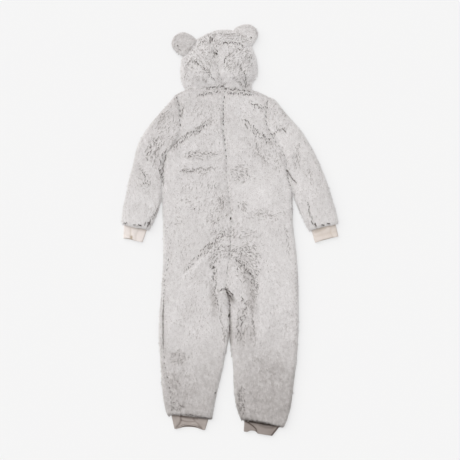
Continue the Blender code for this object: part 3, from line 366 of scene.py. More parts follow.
# Stretches where the pile has matted into little curls: middle, half width and half height in millimetres,
# the curls' usual turn in degrees, how far apart they are, and how deep they part the pile
curls = [
    (52, -95, 42, 62, -40, 7.5, 0.8), (72, -168, 15, 40, -55, 7.5, 0.85), (-14, -64, 58, 26, 20, 9, 0.75),
    (-45, -93, 20, 40, 65, 9, 0.85), (-46, -170, 14, 50, 70, 9, 0.6), (66, -215, 14, 34, -70, 9, 0.6),
    (70, -38, 40, 23, -10, 11, 0.6), (28, 162, 30, 28, -20, 8.5, 0.75), (96, 42, 66, 22, -12, 10.5, 0.55),
    (-86, 215, 52, 16, 10, 8.5, 0.75), (-86, 169, 60, 13, 0, 9, 0.65), (-51, 122, 14, 11, 90, 7.5, 0.9),
    (-36, 30, 32, 80, 60, 11, 0.5), (-21, 80, 11, 24, 80, 8, 0.75), (36, 66, 18, 18, -50, 8.5, 0.7),
    (-49, 28, 22, 18, 60, 8, 0.7), (-126, 84, 16, 8, 0, 7.5, 0.7), (10, -12, 70, 18, 20, 8.5, 0.7),
    (-155, 34, 29, 46, -50, 14, 0.5), (-103, 63, 30, 20, 30, 14, 0.5), (-129, -58, 23, 40, 80, 14, 0.45),
    (87, 353, 28, 18, -60, 10, 0.8), (104, 222, 27, 44, 90, 9.5, 0.5), (140, 200, 16, 40, 80, 10, 0.5),
    (68, 238, 14, 30, 90, 12, 0.45), (-90, 478, 42, 66, -50, 9, 0.5), (26, 483, 44, 62, 40, 8.5, 0.6),
    (0, 546, 66, 22, 20, 9, 0.5), (-60, 500, 30, 50, 70, 9, 0.4), (-68, 544, 24, 18, -40, 9, 0.8),
    (44, 420, 20, 17, -45, 10, 0.7), (-151, -369, 26, 26, 40, 8.5, 0.7), (-158, -441, 17, 37, -60, 10, 0.65),
    (33, -497, 13, 54, -65, 7, 1.0), (35, -266, 16, 66, 70, 9, 0.8), (-11, -303, 10, 35, 80, 9, 0.7),
    (67, -295, 10, 52, -75, 11, 0.6), (-219, 228, 24, 44, 72, 8, 0.65), (-244, 143, 23, 29, -30, 13, 0.55),
    (191, 212, 14, 46, 80, 12, 0.55), (228, 149, 17, 20, -40, 13, 0.5), (-189, 328, 17, 26, 50, 11, 0.6),
    (-150, -509, 22, 18, -30, 7.5, 0.85), (127, -260, 14, 58, 80, 14, 0.3), (-95, -140, 40, 30, 60, 15, 0.3),
    (110, -395, 50, 70, -20, 16, 0.3), (-60, 300, 60, 60, 80, 16, 0.3), (150, 325, 36, 56, 60, 11, 0.55),
    (-75, 345, 56, 30, 80, 13, 0.4), (-180, 300, 32, 60, 50, 10, 0.65), (-110, -250, 44, 60, 75, 13, 0.35),
    (-130, -450, 44, 60, 60, 12, 0.4), (100, -470, 44, 70, -70, 12, 0.4), (60, 220, 50, 50, 80, 15, 0.3),
    (-80, 110, 74, 60, 60, 13, 0.42),
]
# Stretches painted darker, or paler where the amount is below nothing: painted shade in creases and hollows, between
# the legs and along the hems, painted light on the ridges beside creases, and broad darker and paler patches: middle,
# half width, half height, turn in degrees, amount
paintedShadeAndLight = [
    (102, 123, 78, 69, 0, -0.05), (-97, 86, 69, 43, 0, -0.03), (-80, -30, 40, 40, 0, 0.03),
    (-235, 71, 29, 46, 0, -0.05), (145, 273, 35, 58, 30, -0.04), (38, 359, 35, 29, 0, -0.03),
    (-100, 368, 58, 23, 0, 0.05), (-192, 328, 30, 60, -40, 0.06), (136, -110, 40, 92, 0, -0.02),
    (44, -93, 34, 42, 0, 0.04), (-47, -205, 9, 52, 4, 0.2), (64, -188, 14, 60, 10, 0.14),
    (3, -195, 22, 8, -52, 0.35), (2, -290, 7, 44, 0, 0.45), (44, -280, 30, 78, 0, 0.14),
    (-155, -364, 29, 26, 0, 0.08), (-152, -441, 20, 36, 10, 0.06), (125, -388, 44, 14, -20, 0.06),
    (188, -490, 12, 100, -6, 0.12), (-68, 544, 28, 20, 30, 0.03), (30, 540, 60, 25, 0, -0.08),
    (65, 475, 20, 60, 0, -0.10), (-262, 178, 13, 28, 20, 0.06), (-112, -538, 66, 5, -4, 0.5),
    (100, -557, 62, 6, -13, 0.65), (-20, 72, 23, 35, 0, 0.05), (60, -145, 24, 40, 0, 0.05),
    (-88, -92, 75, 7, 45, -0.07), (-74, -60, 62, 8, 45, 0.06),
]
hems = ((0.245, -270, -520), (0.31, -250, -520))   # how much darker each leg gets, from where to where
mapLow, mapSize = np.array((-330.0, -612.0)), (661, 1225)   # a map with one place a millimetre


def walkAlong(points, low, high, rng):
    # Places, directions and shares along a line, at random steps.
    line = np.array(points, float)
    pieces = np.linalg.norm(np.diff(line, axis=0), axis=1)
    reach = np.concatenate([[0], np.cumsum(pieces)])
    at, found = rng.uniform(0, low), []
    while at < reach[-1]:
        here, ahead, back = [np.array([np.interp(at + off, reach, line[:, k]) for k in (0, 1)]) for off in (0, 1, -1)]
        found.append((here, math.atan2(*(ahead - back)[::-1]), at / reach[-1]))
        at += rng.uniform(low, high)
    return found


def dash(field, place, turn, length, width, depth, kept=None):
    # A short soft line in a map, and its row in the list that is kept.
    if kept is not None:
        kept.append((place[0], place[1], turn, length, width, depth))
    reach = int(length / 2 + 2.5 * width) + 2
    i, j = (np.round(place - mapLow)).astype(int)
    rows = np.arange(max(i - reach, 0), min(i + reach + 1, mapSize[0]))
    columns = np.arange(max(j - reach, 0), min(j + reach + 1, mapSize[1]))
    if not len(rows) or not len(columns):
        return
    x = rows[:, None] + mapLow[0] - place[0]
    y = columns[None, :] + mapLow[1] - place[1]
    along = np.abs(x * math.cos(turn) + y * math.sin(turn)) - length / 2
    across = y * math.cos(turn) - x * math.sin(turn)
    value = depth * np.exp(-(across / width) ** 2 - (np.maximum(along, 0) / width) ** 2)
    spot = np.ix_(rows, columns)
    field[spot] = np.maximum(field[spot], value)


def mapParts(rows, curls, marks, seed):
    rng = np.random.default_rng(seed)
    parts, hollow, seams = np.zeros(mapSize), np.zeros(mapSize), np.zeros(mapSize)
    strands = []

    def between(key):
        return rng.uniform(*pileParts[key])

    def towardsEnds(share, part):
        return float(soft(0, part, share) * soft(0, part, 1 - share))

    for kind, depth, band, points in rows:
        feathered = band > pileParts["featherFrom"]
        if kind == "seam":
            for place, turn, share in walkAlong(points, *pileParts["seamStep"], rng):
                place = place + rng.normal(0, pileParts["seamStray"], 2)
                dash(parts, place, turn + rng.normal(0, pileParts["seamTurn"]), between("seamLength"),
                     pileParts["seamWidth"] * band, depth * between("seamDepth"), strands)
            step, size = pileParts["bridged"]
            for place, turn, share in walkAlong(points, *step, rng):
                dash(seams, place, turn, *size, 1.0)
        else:
            for place, turn, share in walkAlong(points, *pileParts["featherStep" if feathered else "foldStep"], rng):
                fade = towardsEnds(share, pileParts["foldEnds"]) * 0.7 + 0.3
                side = rng.uniform(-1, 1) * band
                place = place + side * np.array((-math.sin(turn), math.cos(turn)))
                near = 1 - 0.5 * abs(side) / band
                lean, reach = turn + rng.normal(0, pileParts["foldTurn"]), between("foldLength")
                if feathered and rng.random() < pileParts["strokes"]:
                    lean, reach = math.pi / 2 + rng.normal(*pileParts["strokeLean"]), between("strokeLength")
                dash(parts, place, lean, reach, between("foldWidth"),
                     depth * fade * near * between("featherDepth" if feathered else "foldDepth"), strands)
        step, length, wider, least = pileParts["hollow"]
        for place, turn, share in walkAlong(points, *step, rng):
            dash(hollow, place, turn, length, band + wider, depth * (least + (1 - least) * towardsEnds(share, 0.2))
                 * (pileParts["featherHollow"] if feathered else 1.0))
    for x, y, wide, high, lean, apart, depth in curls:
        for i in np.arange(-wide, wide, apart):
            for j in np.arange(-high, high, apart * pileParts["curlRows"]):
                place = np.array((i, j)) + rng.uniform(-0.5, 0.5, 2) * apart
                inside = 1 - math.hypot(place[0] / wide, place[1] / high)
                if rng.random() < 4 * inside:
                    turn = math.radians(lean) + rng.normal(0, pileParts["curlTurn"])
                    deep = depth * pileParts["curlDepth"] * between("curlSpread")
                    dash(parts, place + (x, y), turn, between("curlLength"), between("curlWidth"), deep, strands)
    for x, y, turn, length, width, depth in marks:
        dash(parts, np.array((x, y)), math.radians(turn), length, width, depth, strands)
    for k in range(pileParts["specks"]):
        place = mapLow + rng.random(2) * mapSize
        dash(parts, place, rng.normal(*pileParts["speckLean"]), between("speckLength"), between("speckWidth"),
             between("speckDepth"), strands)
    return {"parts": parts, "hollow": hollow, "seams": seams, "strands": np.array(strands)}


def mapPaintedShadeAndLight():
    # One map of the painted shade and light in the table above, with each leg darker towards its hem.
    field = np.zeros(mapSize)
    x = np.arange(mapSize[0])[:, None] + mapLow[0]
    y = np.arange(mapSize[1])[None, :] + mapLow[1]
    for middleX, middleY, wide, high, turn, amount in paintedShadeAndLight:
        turn = math.radians(turn)
        u = (x - middleX) * math.cos(turn) + (y - middleY) * math.sin(turn)
        v = (y - middleY) * math.cos(turn) - (x - middleX) * math.sin(turn)
        field += amount * np.exp(-((u / wide) ** 2 + (v / high) ** 2) ** 1.3)
    return field + np.where(x < 0, *[amount * np.interp(-y, (-top, -bottom), (0, 1)) for amount, top, bottom in hems])


def readMap(field, x, y):
    # A map's value at any place, between its own places.
    u = np.clip(x - mapLow[0], 0, mapSize[0] - 1.001)
    v = np.clip(y - mapLow[1], 0, mapSize[1] - 1.001)
    i, j = u.astype(int), v.astype(int)
    s, t = u - i, v - j
    return ((field[i, j] * (1 - s) + field[i + 1, j] * s) * (1 - t)
            + (field[i, j + 1] * (1 - s) + field[i + 1, j + 1] * s) * t)


def readSides(key, below, x, y):
    # The front's map for what lies below, and the back's for the rest.
    return np.where(below, readMap(frontMap[key], x, y), readMap(backMap[key], x, y))


backMap, frontMap = mapParts(pileParts["back"], curls, marks, 5), mapParts(pileParts["front"], [], [], 9)
backPaintedShadeAndLight = mapPaintedShadeAndLight()
print("partings mapped")


# Materials

fleece = {"tip": "#f8f7f7", "middle": "#eae7e6", "root": "#c4bebb", "parted": "#5c4c3e", "deep": "#2a211b",
          "backing": ("#c8c3c0", "#b6b0ad"), "inside": ("#d8d4d2", "#bcb6b1"),
          "middleAt": 0.45, "rough": 0.95, "sheen": 0.2, "sheenRough": 0.45, "gloss": 0.2,
          "loops": 100, "loopHeight": 0.6}


def plushMaterial():
    # Teddy fleece with frosted tips: brushed polyester pile, greige at the root and nearly white at the
    # tips, quite matt, with a faint sheen at grazing angles.
    material, tree, shader = newMaterial("frostedPile", Roughness=fleece["rough"], Sheen_Weight=fleece["sheen"],
                                         Sheen_Roughness=fleece["sheenRough"], Specular_IOR_Level=fleece["gloss"])
    uv = addNode(tree, "ShaderNodeUVMap", {"uv_map": "OFBake"})
    split = addNode(tree, "ShaderNodeSeparateXYZ", links=[("Vector", uv, "UV")])
    ramp = addNode(tree, "ShaderNodeValToRGB", links=[("Fac", split, "X")])
    colours = ramp.color_ramp.elements
    colours[0].color, colours[1].color = linear(fleece["root"]), linear(fleece["tip"])
    colours.new(fleece["middleAt"]).color = linear(fleece["middle"])
    # The map's y darkens the colour towards the parted and deep browns: the darker roots where the pile parts, and
    # the painted shade and light of the partings and tones maps.
    depth = addNode(tree, "ShaderNodeValToRGB", links=[("Fac", split, "Y")])
    shades = depth.color_ramp.elements
    shades[0].color, shades[1].color = linear(fleece["parted"]), linear(fleece["deep"])
    shades[0].position = fleece["middleAt"]
    mix = addNode(tree, "ShaderNodeMix", {"data_type": "RGBA"},
                  links=[(0, split, "Y"), (6, ramp, "Color"), (7, depth, "Color")])
    tree.links.new(mix.outputs[2], shader.inputs["Base Color"])
    return material


def backingMaterial(name, colour, deeper):
    # The knitted ground that the pile grows from: matt, slightly uneven, with rows of fine loops, drawn 3.1 mm
    # apart so that they show.
    material, tree, shader, where, mix = mottledMaterial(name, colour, deeper, 160, 4, Roughness=fleece["rough"],
                                                         Specular_IOR_Level=fleece["gloss"])
    loops = addNode(tree, "ShaderNodeTexWave", {"bands_direction": "Y"},
                    {"Scale": fleece["loops"], "Distortion": 2.5, "Detail Scale": 3}, [("Vector", where, "Object")])
    bump = addNode(tree, "ShaderNodeBump", None, {"Strength": 0.4, "Distance": fleece["loopHeight"] * mm},
                   [("Height", loops, "Fac")])
    tree.links.new(bump.outputs["Normal"], shader.inputs["Normal"])
    return material


pileFinish = plushMaterial()
groundFinish = backingMaterial("fleeceGround", *fleece["backing"])
insideFinish = backingMaterial("fleeceInside", *fleece["inside"])


# The cut pieces: a shell of backing for each one

shells = {}
shellShape = {"smooth": 2, "merged": 0.02, "lumps": (0.9, 26), "small": (0.5, 11), "hollow": 1.6, "pressed": 2.2,
              # how far sewn edges reach into each other and how near they must be, in millimetres
              "overlap": 2.0, "near": 8.0, "earOverlap": 9.0, "earNear": 16.0, "earLift": 3.5, "earUpper": 9.0,
              # heights over which the upper and the lower side are shaped, in millimetres
              "upper": (8.5, 12), "lower": (4.5, 2.0),
              # the front's centre line under the zip: heights and middles, in millimetres
              "slot": ((-138, -120, -102, -84, -66, -48, -36), (-9, -5.5, -3, -2, -1, 0.5, 3)),
              "slotEnds": ((-34, -46), (-140, -115)), "slotWidth": 18,
              # where an edge is drawn aside: piece, middle, size of the place and the move, in millimetres
              "pulls": [("earRight", 17, 575, 14, -9.0, 3.5), ("hoodRight", 8, 572, 16, 0.0, 3.5),
                        ("earRight", 76, 546, 15, -3.0, 1.0), ("earLeft", -99, 549, 12, 5.0, 3.0),
                        ("hoodLeft", -99, 545, 10, 0.0, 2.0), ("earLeft", -156, 510, 15, 2.5, 1.5),
                        ("hoodLeft", -130, 487, 9, -3.0, 0.0), ("sleeveLeft", -246, 0, 18, 0.0, 4.5),
                        ("sleeveRight", 262, 2, 26, 0.0, 2.2), ("backLeft", 0, -318, 20, -1.6, 0.0),
                        ("frontLeft", 0, -318, 20, -1.6, 0.0), ("backRight", 0, -318, 20, 1.6, 0.0),
                        ("frontRight", 0, -318, 20, 1.6, 0.0)]}


def treeOf(pieces):
    places, faces, count = [], [], 0
    for piece in pieces:
        piece.data.calc_loop_triangles()
        places += [tuple(v.co) for v in piece.data.vertices]
        faces += [tuple(count + k for k in t.vertices) for t in piece.data.loop_triangles]
        count = len(places)
    return BVHTree.FromPolygons(places, faces)


def closeSeams(name, node, places, normals):
    # The edges that are sewn to another piece reach a little into it, so that no gap shows in the pile.
    isEar = name.startswith("ear")
    others = [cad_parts[other] for other in sewnNodes
              if other != node and not (isEar and other.startswith("ear"))]
    near = treeOf(others)
    reach = shellShape["earNear" if isEar else "near"] * mm
    for k in np.flatnonzero(np.hypot(normals[:, 0], normals[:, 1]) > (0.05 if isEar else 0.3)):
        way = Vector((normals[k, 0], normals[k, 1], 0)).normalized()
        if isEar:
            found, slant, index, far = near.find_nearest(Vector(places[k]), reach)
            if found is None:
                continue
            share = 1 - far / reach
            way = Vector((found.x - places[k, 0], found.y - places[k, 1], 0))
            if way.length > 1e-6:
                places[k, :2] += np.array(way.normalized()[:2]) * share * shellShape["earOverlap"] * mm
            if places[k, 2] > shellShape["earUpper"] * mm:
                places[k, 2] += share * shellShape["earLift"] * mm
        elif near.ray_cast(Vector(places[k]) - way * (0.5 * mm), way, reach)[0] is not None:
            places[k, :2] += np.array(way[:2]) * shellShape["overlap"] * mm
    return places


def makeShell(name, node):
    # The backing of a cut piece: its plain solid, rounded, with soft lumps and hollows.
    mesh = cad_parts[node].data.copy()
    shape = bmesh.new()
    shape.from_mesh(mesh)
    bmesh.ops.remove_doubles(shape, verts=shape.verts, dist=shellShape["merged"] * mm)
    bmesh.ops.join_triangles(shape, faces=shape.faces, angle_face_threshold=0.9, angle_shape_threshold=1.2)
    shape.to_mesh(mesh)
    shape.free()
    mesh.name = name
    mesh.materials.clear()
    mesh.materials.append(groundFinish)
    mesh.materials.append(insideFinish)
    piece = addObject(name, mesh)
    useOnly(piece)
    rounding = piece.modifiers.new("rounding", "SUBSURF")
    rounding.levels = rounding.render_levels = shellShape["smooth"]
    bpy.ops.object.modifier_apply(modifier="rounding")
    bpy.ops.object.shade_smooth()
    places, normals = placesOf(piece), placesOf(piece, "normal")
    x, y = onPattern(places)
    height = places[:, 2] / mm
    upper = soft(0.2, 0.7, normals[:, 2]) * soft(*shellShape["upper"], height)
    lift = shellShape["lumps"][0] * cloud(x, y, shellShape["lumps"][1], 2)
    lift += shellShape["small"][0] * cloud(x, y, shellShape["small"][1], 3)
    lift -= shellShape["hollow"] * readMap(backMap["hollow"], x, y)
    places = places + normals * (upper * lift * mm)[:, None]
    for start, pieceX, pieceY, size, moveX, moveY in shellShape["pulls"]:
        if name.startswith(start):
            near = np.exp(-((x - pieceX) ** 2 + (y - pieceY) ** 2) / size ** 2)
            places[:, 0] += moveX * mm * near
            places[:, 1] += moveY * mm * near
    if name.startswith("front"):
        # Below the zip the two fronts are sewn edge to edge.
        side = 1 if name == "frontLeft" else -1
        rows = np.arange(-190, -20, 4)
        edge = np.interp(y, rows, [(x * side)[np.abs(y - row) < 7].max() for row in rows])
        fade = soft(*shellShape["slotEnds"][0], y) * soft(*shellShape["slotEnds"][1], y)
        shift = (np.interp(y, *shellShape["slot"]) * side - edge) * fade
        places[:, 0] += side * shift * np.clip(1 - (edge - x * side) / shellShape["slotWidth"], 0, 1) * mm
    places = closeSeams(name, node, places, normals)
    lower = soft(0.2, 0.7, -normals[:, 2]) * soft(*shellShape["lower"], height)
    places[:, 2] += lower * shellShape["pressed"] * mm
    setPlaces(piece, places)
    for face in piece.data.polygons:
        inward = -face.normal.z if face.center.z > drafting["between"] * mm else face.normal.z
        face.material_index = int(inward > 0.35)
    shells[name] = joinGarment(piece, "fleece", node)


# name, CAD node
fleecePieces = [
    ("backLeft", "back_left"), ("backRight", "back_right"), ("frontLeft", "front_left"),
    ("frontRight", "front_right"), ("sleeveLeft", "sleeve_left"), ("sleeveRight", "sleeve_right"),
    ("hoodLeft", "hood_left"), ("hoodRight", "hood_right"), ("earLeftBack", "ear_left_back"),
    ("earLeftFront", "ear_left_front"), ("earRightBack", "ear_right_back"), ("earRightFront", "ear_right_front"),
]
sewnNodes = [node for name, node in fleecePieces]
for name, node in fleecePieces:
    makeShell(name, node)
print("shells made,", sum(len(s.data.polygons) for s in shells.values()) * 2, "triangles")


# The pile: short flat blades over the open side of every shell

allShells = treeOf(shells.values())
pile = {
    # blades to a square millimetre, and the share of them underneath, where they are longer, wider and darker
    "perSquareMm": 0.64, "under": 0.17, "underLong": 1.25, "underWide": 1.3, "underDark": 0.08,
    # a blade's length and width and how they vary, and how thick a clump is, in millimetres
    "length": 6.0, "lengths": (0.75, 1.25), "width": 1.95, "widths": (0.6, 1.15), "lock": 7.0,
    # how much blades gather into locks, wander, stray, part and shorten at partings, and lean over seams
    "gather": 0.35, "tangle": 0.35, "tangles": (30, 9), "random": 0.25, "openPush": 1.0, "shortened": 0.6,
    "bridge": 5.0,
    # how steeply they rise at the root, at the tip and underneath, how high the root is set over the backing, flat
    # and at the rim, how much they lean at least, and how high they stay over the table and by how much that varies
    "rise": (0.24, 0.10, 0.4), "root": (0.5, -0.6), "least": 0.45, "lowest": (0.15, 0.2),
    # at the rim they stand up more and are shorter, and painted lighter: painted light against the shade there
    "rimRise": 0.9, "edgeShort": 0.4, "rimPaintedLight": 0.15, "edgeTurn": 1.4,
    # darkness in all, at partings, in streaks, where there are few and for each step of painted shade, and from blade
    # to blade
    "base": 0.17, "shade": 0.18, "streak": (0.06, 0.14), "uneven": 0.025,
    "most": 70000,   # blades in one piece
    "rim": 12.0,   # sides above this height always have pile, in millimetres
    "bare": (-12.5, 347, 15, 30),   # clear of the zip's pull underneath: middle, half width and half height
    # name: lean (x, y), length and density against the rest, darkening
    "back": ((0.0, -0.55), 1.0, 1.0, 0.0),
    "front": ((0.0, -0.6), 1.0, 1.0, 0.05),
    "sleeveLeft": ((-0.16, -0.55), 1.0, 1.0, 0.0),
    "sleeveRight": ((0.16, -0.55), 1.0, 1.0, 0.0),
    "hood": ((0.0, -0.45), 0.95, 1.05, -0.03),
    "earLeft": ((0.12, -0.22), 0.7, 1.3, 0.12),
    "earRight": ((-0.12, -0.22), 0.7, 1.3, 0.04),
    # where the pile is trimmed: middle, half width and half height in millimetres, how much of its length goes
    "trims": [(0, -312, 9, 24, 0.8)],
}


def outwardFaces(mid, face):
    # Which faces look up, down and sideways into the open, and which have no neighbour beside them.
    top = (face[:, 2] > 0.3) & (mid[:, 2] > (drafting["between"] + 0.3) * mm)
    low = (face[:, 2] < -0.3) & (mid[:, 2] < (drafting["between"] - 0.3) * mm)
    side = np.abs(face[:, 2]) <= 0.3
    for k in np.flatnonzero(side):
        start, way = Vector(mid[k]), Vector(face[k])
        side[k] = allShells.ray_cast(start + way * (0.3 * mm), way, 3 * mm)[0] is None
    free = np.hypot(face[:, 0], face[:, 1]) > 0.35
    for k in np.flatnonzero(free & (top | side | low)):
        way = Vector((face[k, 0], face[k, 1], 0)).normalized()
        free[k] = allShells.ray_cast(Vector(mid[k]) + way * (0.5 * mm), way, 25 * mm)[0] is None
    return top, low, side, free


def plantRoots(shell, denser, rng):
    # Where blades stand, the cloth's normals there, and whether each is on the underside, stands free at the
    # rim and belongs to the upper layer.
    mesh = shell.data
    mesh.calc_loop_triangles()
    corners = np.empty(len(mesh.loop_triangles) * 3, np.int32)
    mesh.loop_triangles.foreach_get("vertices", corners)
    corners = corners.reshape(-1, 3)
    places, normals = placesOf(shell), placesOf(shell, "normal")
    a, b, c = [places[corners[:, k]] for k in range(3)]
    face = np.cross(b - a, c - a)
    area, face, mid = np.linalg.norm(face, axis=1) / 2, unit(face), (a + b + c) / 3
    top, low, side, free = outwardFaces(mid, face)
    fromPull = (np.abs(mid[:, :2] / mm - pile["bare"][:2]) < pile["bare"][2:]).all(axis=1)
    high = mid[:, 2] > pile["rim"] * mm
    weight = area * (top + side * high + (side * ~high + pile["under"] * low) * ~fromPull)
    count = int(weight.sum() / mm ** 2 * pile["perSquareMm"] * denser)
    steps = np.cumsum(weight)
    picks = np.searchsorted(steps, (np.arange(count) + rng.random(count)) / count * steps[-1])
    picks = np.minimum(picks, len(steps) - 1)
    u, v = rng.random(count), rng.random(count)
    over = u + v > 1
    u[over], v[over] = 1 - u[over], 1 - v[over]
    u, v = u[:, None], v[:, None]
    root = a[picks] + (b - a)[picks] * u + (c - a)[picks] * v
    first, second, third = [normals[corners[picks, k]] for k in range(3)]
    n = unit(first * (1 - u - v) + second * u + third * v)
    return root, n, low[picks], free[picks], mid[picks, 2] > drafting["between"] * mm


def growPile(name, shell, kind, seed):
    lean, longer, denser, darker = pile[kind]
    rng = np.random.default_rng(seed)
    root, n, below, free, upper = plantRoots(shell, denser, rng)
    count = len(root)
    x, y = onPattern(root)
    opened = readSides("parts", below, x, y)

    def slope(value):
        return np.stack([value(x + 1, y) - value(x - 1, y), value(x, y + 1) - value(x, y - 1)], 1)

    def locks(px, py):
        return 0.6 * cloud(px, py, pile["lock"], 11) + 0.4 * cloud(px, py, pile["lock"] * 0.45, 12)

    # Which way the blades lie: down the nap, together in locks, over seams and away from partings.
    gap = soft(-0.05, -0.6, locks(x, y))
    way = np.zeros((count, 3))
    way[:, :2] = lean
    wide, narrow = pile["tangles"]
    for k, first in enumerate((21, 23)):
        way[:, k] += pile["tangle"] * (cloud(x, y, wide, first) * 0.7 + cloud(x, y, narrow, first + 1) * 0.3)
    way[:, :2] += pile["gather"] * slope(locks)
    reach = rng.random(count)[:, None] * pile["bridge"]
    way[:, :2] += reach * slope(lambda px, py: readSides("seams", below, px, py))
    way[:, :2] -= pile["openPush"] * slope(lambda px, py: readMap(backMap["parts"], px, py)) * ~below[:, None]
    way += rng.normal(0, pile["random"], (count, 3))
    way -= n * (way * n).sum(axis=1)[:, None]
    size = np.linalg.norm(way, axis=1)[:, None]
    way *= np.maximum(size, pile["least"]) / np.maximum(size, 1e-9)
    edge = soft(0.45, 0.95, np.hypot(n[:, 0], n[:, 1])) * free
    axis = unit(n + (edge * np.where(upper, 1.0, -1.0) * pile["edgeTurn"])[:, None] * np.array((0, 0, 1)))

    # Their shape: a root, a bend as wide as the blade and a tip.
    length = pile["length"] * longer * mm * rng.uniform(*pile["lengths"], count) * (1 - pile["edgeShort"] * edge)
    length *= (1 - pile["shortened"] * opened) * (1 - 0.1 * gap) * np.where(below, pile["underLong"], 1.0)
    for middleX, middleY, wide, high, share in pile["trims"]:
        length *= 1 - share * np.exp(-((x - middleX) / wide) ** 4 - ((y - middleY) / high) ** 4)
    length = length[:, None]
    up = (np.where(below, pile["rise"][2], 1.0) * (1 + pile["rimRise"] * edge))[:, None]
    first = unit(n * up * pile["rise"][0] + way * 0.6)
    last = unit(n * up * pile["rise"][1] + way)
    width = pile["width"] * mm * rng.uniform(*pile["widths"], count) / 2 * np.where(below, pile["underWide"], 1.0)
    across = unit(np.cross(axis, last)) * width[:, None]
    start = root + n * ((pile["root"][0] * (1 - edge) + pile["root"][1] * edge) * mm)[:, None]
    bend = start + first * length * 0.5
    tip = bend + last * length * 0.55
    spots = np.stack([start, bend - across, bend + across, tip], 1)
    lowest, varied = pile["lowest"]
    spots[:, :, 2] = np.maximum(spots[:, :, 2], lowest * mm + varied * mm * rng.random(count)[:, None])

    # Their colour: along the blade in the map's x, how dark in its y.
    dark = pile["base"] + darker + 0.03 * gap + 0.02 * cloud(x, y, 60, 31) + 0.015 * cloud(x, y, 22, 32)
    # The painted shade and light of the map: shade in creases, between the legs and along the hems, light on ridges.
    shadeAndLightHere = readMap(backPaintedShadeAndLight, x, y)
    dark += np.where(below, 0.8 * shadeAndLightHere + pile["underDark"], shadeAndLightHere) + rng.normal(0, pile["uneven"], count)
    dark += (pile["streak"][0] + pile["streak"][1] * np.maximum(shadeAndLightHere, 0)) * cloud(x * 1.2, y * 0.65, 4.5, 33)
    shown = readSides("parts", below[:, None], *onPattern(spots))
    uvs = np.empty((count, 4, 2))
    # Painted light at the rim: the blades' colour moves towards the tip's, against the shade there.
    uvs[:, :, 0] = np.array((0.03, 0.50, 0.52, 0.97)) + pile["rimPaintedLight"] * edge[:, None] * np.array((1, 1, 1, 0))
    uvs[:, :, 1] = np.clip(dark[:, None] + pile["shade"] * shown + np.array((0, -0.004, 0.004, 0)), 0.02, 0.98)
    flat = unit(np.cross(bend - across - start, bend + across - start))
    order = np.argsort(-root[:, 1], kind="stable")
    return buildPile(name, spots, uvs, unit(axis * 0.85 + flat * 0.25), order)


def buildPile(name, spots, uvs, facing, order):
    # Blades of two triangles each, in as many pieces as keep every one under the limit.
    shares = max(1, math.ceil(len(order) / pile["most"]))
    made = []
    for k, part in enumerate(np.array_split(order, shares)):
        few = len(part)
        tufts = bpy.data.meshes.new(name + "ABCD"[k] * (shares > 1))
        tufts.vertices.add(few * 4)
        tufts.vertices.foreach_set("co", spots[part].ravel())
        tufts.loops.add(few * 6)
        turn = np.arange(few)[:, None] * 4 + np.array((0, 1, 2, 1, 3, 2))
        tufts.loops.foreach_set("vertex_index", turn.ravel().astype(np.int32))
        tufts.polygons.add(few * 2)
        tufts.polygons.foreach_set("loop_start", np.arange(few * 2, dtype=np.int32) * 3)
        layer = tufts.uv_layers.new(name="OFBake")
        layer.uv.foreach_set("vector", uvs[part][:, (0, 1, 2, 1, 3, 2)].ravel())
        tufts.update(calc_edges=True)
        tufts.shade_smooth()
        tufts.normals_split_custom_set_from_vertices(np.repeat(facing[part], 4, axis=0))
        tufts.materials.append(pileFinish)
        made.append(joinGarment(addObject(tufts.name, tufts), "fleece"))
    return made


kinds = {"back": "back", "fron": "front", "hood": "hood", "earL": "earLeft", "earR": "earRight"}
for seed, (name, node) in enumerate(fleecePieces):
    kind = kinds.get(name[:4], name)
    growPile(name + "Pile", shells[name], kind, 40 + seed)


# The dark roots and the painted shade that show where the pile parts, and the painted shade under the hems and
# between the legs: short dark strands, lying in the pile

strands = {"rise": (3.9, 5.0), "near": 3.5, "crest": 0.7, "steepest": 9.0,   # height over the cloth beside it
           "width": (2.0, 0.5), "bow": 0.22, "least": 0.12,   # width against the parting's, and the least depth shown
           "dark": (0.35, 0.8, 0.97), "ends": 0.6}   # darkness at least, for each depth and at most, and at both ends


